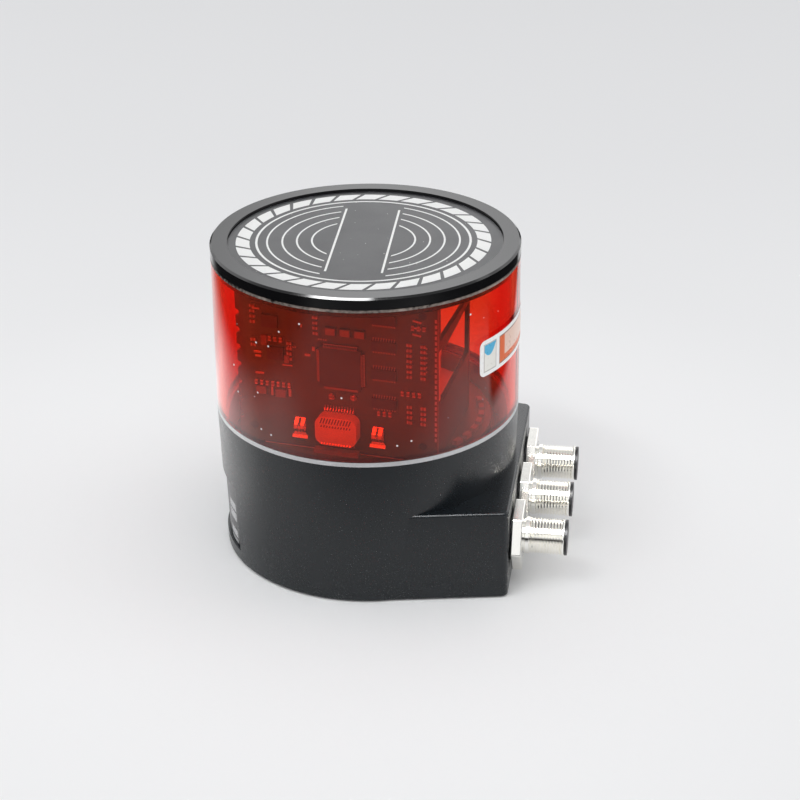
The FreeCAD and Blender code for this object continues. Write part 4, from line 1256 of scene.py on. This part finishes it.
bars = blocks_at(bar_spots, bar_depth, bar_soften)
bars += blocks_at(slanted_spots, bar_depth, bar_soften, bar_slant)
places = []
for x, z, step_x, step_z, count in dot_rows:
    for k in range(count):
        places.append(on_board((x + k * step_x) * MM, (z + k * step_z) * MM))
dot = block(width=0.4 * MM, depth=0.4 * MM, tall=0.5 * MM, soften=bar_soften)
dots = spread(dot, places, "solder_dots")
board_pads = join([pads, rings, dots] + bars, "board_pads")
mount_on_head(board_pads, solder_tin)
print("bars:", len(bars), "dots:", len(places))

# %% Resin blocks
block_spots = [(-23.2, 82.0, 2.0, 3.4), (-24.7, 64.3, 3.2, 2.4), (-18.3, 63.9, 3.4, 2.6),
               (-16.0, 76.2, 1.6, 2.6)]
board_blocks = join(blocks_at(block_spots, depth=0.9 * MM, soften=0.12 * MM), "board_blocks")
mount_on_head(board_blocks, finish("block_resin", (0.30, 0.22, 0.18), 0.4)[0])
print("resin blocks:", len(block_spots))

# %% Plug pins and slots
plug_low, plug_high = solids_in("head_connector")[0]
plug_x = (plug_low.x + plug_high.x) / 2
pin_count = 11
pin_pitch = 0.93 * MM
slit_slant = 20 * DEG
tip_slant = -45 * DEG
tip_rise = 0.5 * MM


def along_plug(z, slant=0.0):
    """One place for each pin, along the plug's face at a height."""
    first = plug_x - (pin_count - 1) / 2 * pin_pitch
    return [Matrix.Translation((first + k * pin_pitch, plug_low.y, z)) @ Matrix.Rotation(slant, 4, "Y")
            for k in range(pin_count)]


pin_row = leg_row(width=0.3 * MM, reach=2.1 * MM, rise=0.8 * MM, count=pin_count, pitch=pin_pitch)
pins = spread(pin_row, [on_board(plug_x, plug_high.z), on_board(plug_x, plug_low.z, 2)], "plug_pins")
mount_on_head(pins, solder_tin)
tip = block(width=0.4 * MM, depth=0.2 * MM, tall=0.6 * MM, soften=0.05 * MM)
tip.data.transform(Matrix.Rotation(tip_slant, 4, "X"))
plug_tips = spread(tip, along_plug(plug_low.z + tip_rise), "plug_tips")
mount_on_head(plug_tips, finishes["clip_tin"])

slits = []
for name, tall, drop in (("upper_slits", 2.0 * MM, 1.5 * MM), ("lower_slits", 0.8 * MM, 3.4 * MM)):
    slit = block(width=0.32 * MM, depth=0.06 * MM, tall=tall, soften=0.02 * MM)
    slits.append(spread(slit, along_plug(plug_high.z - drop, slit_slant), name))
plug_slots = join(slits, "plug_slots")
mount_on_head(plug_slots, finish("slot_shade", (0.16, 0.09, 0.07), 0.6)[0])
print("plug pins:", 2 * pin_count)

# %% Crystal lids
square_chip = 4 * MM
lid_inset = 0.3 * MM
square_chips = [(low, high) for low, high in chips if high.x - low.x < square_chip]
first_square = square_chips[0][1] - square_chips[0][0]
lid = block(width=first_square.x - lid_inset, depth=0.18 * MM, tall=first_square.z - lid_inset,
            soften=0.07 * MM)
shift(lid, 0, -first_square.y, 0)
places = [on_board((low.x + high.x) / 2, (low.z + high.z) / 2) for low, high in square_chips]
crystal_lids = spread(lid, places, "crystal_lids")
mount_on_head(crystal_lids, finish("lid_metal", (0.36, 0.30, 0.26), 0.45, 0.5)[0])
print("crystal lids:", len(square_chips))

# %% [markdown]
# ## Dust specks
# The picture shows a handful of bright specks on the window and cap: lint and grit that caught the lamps.
# Each is a tiny flattened ball with its points pulled about. The larger ones are listed by their angle round
# the window and their height. A seeded random draw adds the fine ones, in the same spots every run.

# %% Dust specks
draw = random.Random(20)
window_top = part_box("window")[1].z
foot_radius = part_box("window")[1].x
head_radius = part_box("cap_seal")[1].x
glass_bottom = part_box("trim_ring")[1].z
large_size = 0.34 * MM
fine_count = 26
fine_sizes = (0.08, 0.18)
fine_bottom = glass_bottom + 2 * MM
fine_top = window_top - 3 * MM
cap_count = 40
cap_sizes = (0.06, 0.16)
cap_reach = 43 * MM
speck_flat = 0.4
window_long = 1.2
cap_long = 1.5
large_specks = [(-112.8, 92.9), (-104.5, 96.9), (-123.5, 86.9), (-117.7, 87.0), (-123.7, 69.7),
                (-122.6, 57.3), (-117.9, 56.5), (-89.7, 73.7), (-70.3, 57.0), (-65.1, 58.1), (-137.5, 75.0),
                (-135.3, 66.4), (-41.0, 96.1)]
speck = primitive(bpy.ops.mesh.primitive_ico_sphere_add, subdivisions=1, radius=1.0)
edit(speck)
bpy.ops.transform.vertex_random(offset=0.25, seed=3)
start_clean()


def on_window(turn, height, size):
    """Place of a speck on the window's outside."""
    share = (height - glass_bottom) / (window_top - glass_bottom)
    radius = foot_radius + share * (head_radius - foot_radius)
    return (Matrix.Rotation(turn, 4, "Z") @ Matrix.Translation((radius, 0, height))
            @ Matrix.Diagonal((speck_flat * size, size, window_long * size, 1)))


places = [on_window(turn * DEG, level * MM, large_size) for turn, level in large_specks]
for k in range(fine_count):
    turn = draw.uniform(0, math.tau)
    level = draw.uniform(fine_bottom, fine_top)
    places.append(on_window(turn, level, draw.uniform(*fine_sizes) * MM))
for k in range(cap_count):
    turn = draw.uniform(0, math.tau)
    radius = math.sqrt(draw.random()) * cap_reach
    size = draw.uniform(*cap_sizes) * MM
    places.append(Matrix.Rotation(turn, 4, "Z") @ Matrix.Translation((radius, 0, label_top))
                  @ Matrix.Diagonal((size, cap_long * size, speck_flat * size, 1)))
dust_specks = spread(speck, places, "dust_specks")
wear(dust_specks, finish("lint", (0.82, 0.80, 0.78), 0.7, grain=4000)[0])
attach(dust_specks, "housing")
print("specks:", len(places))
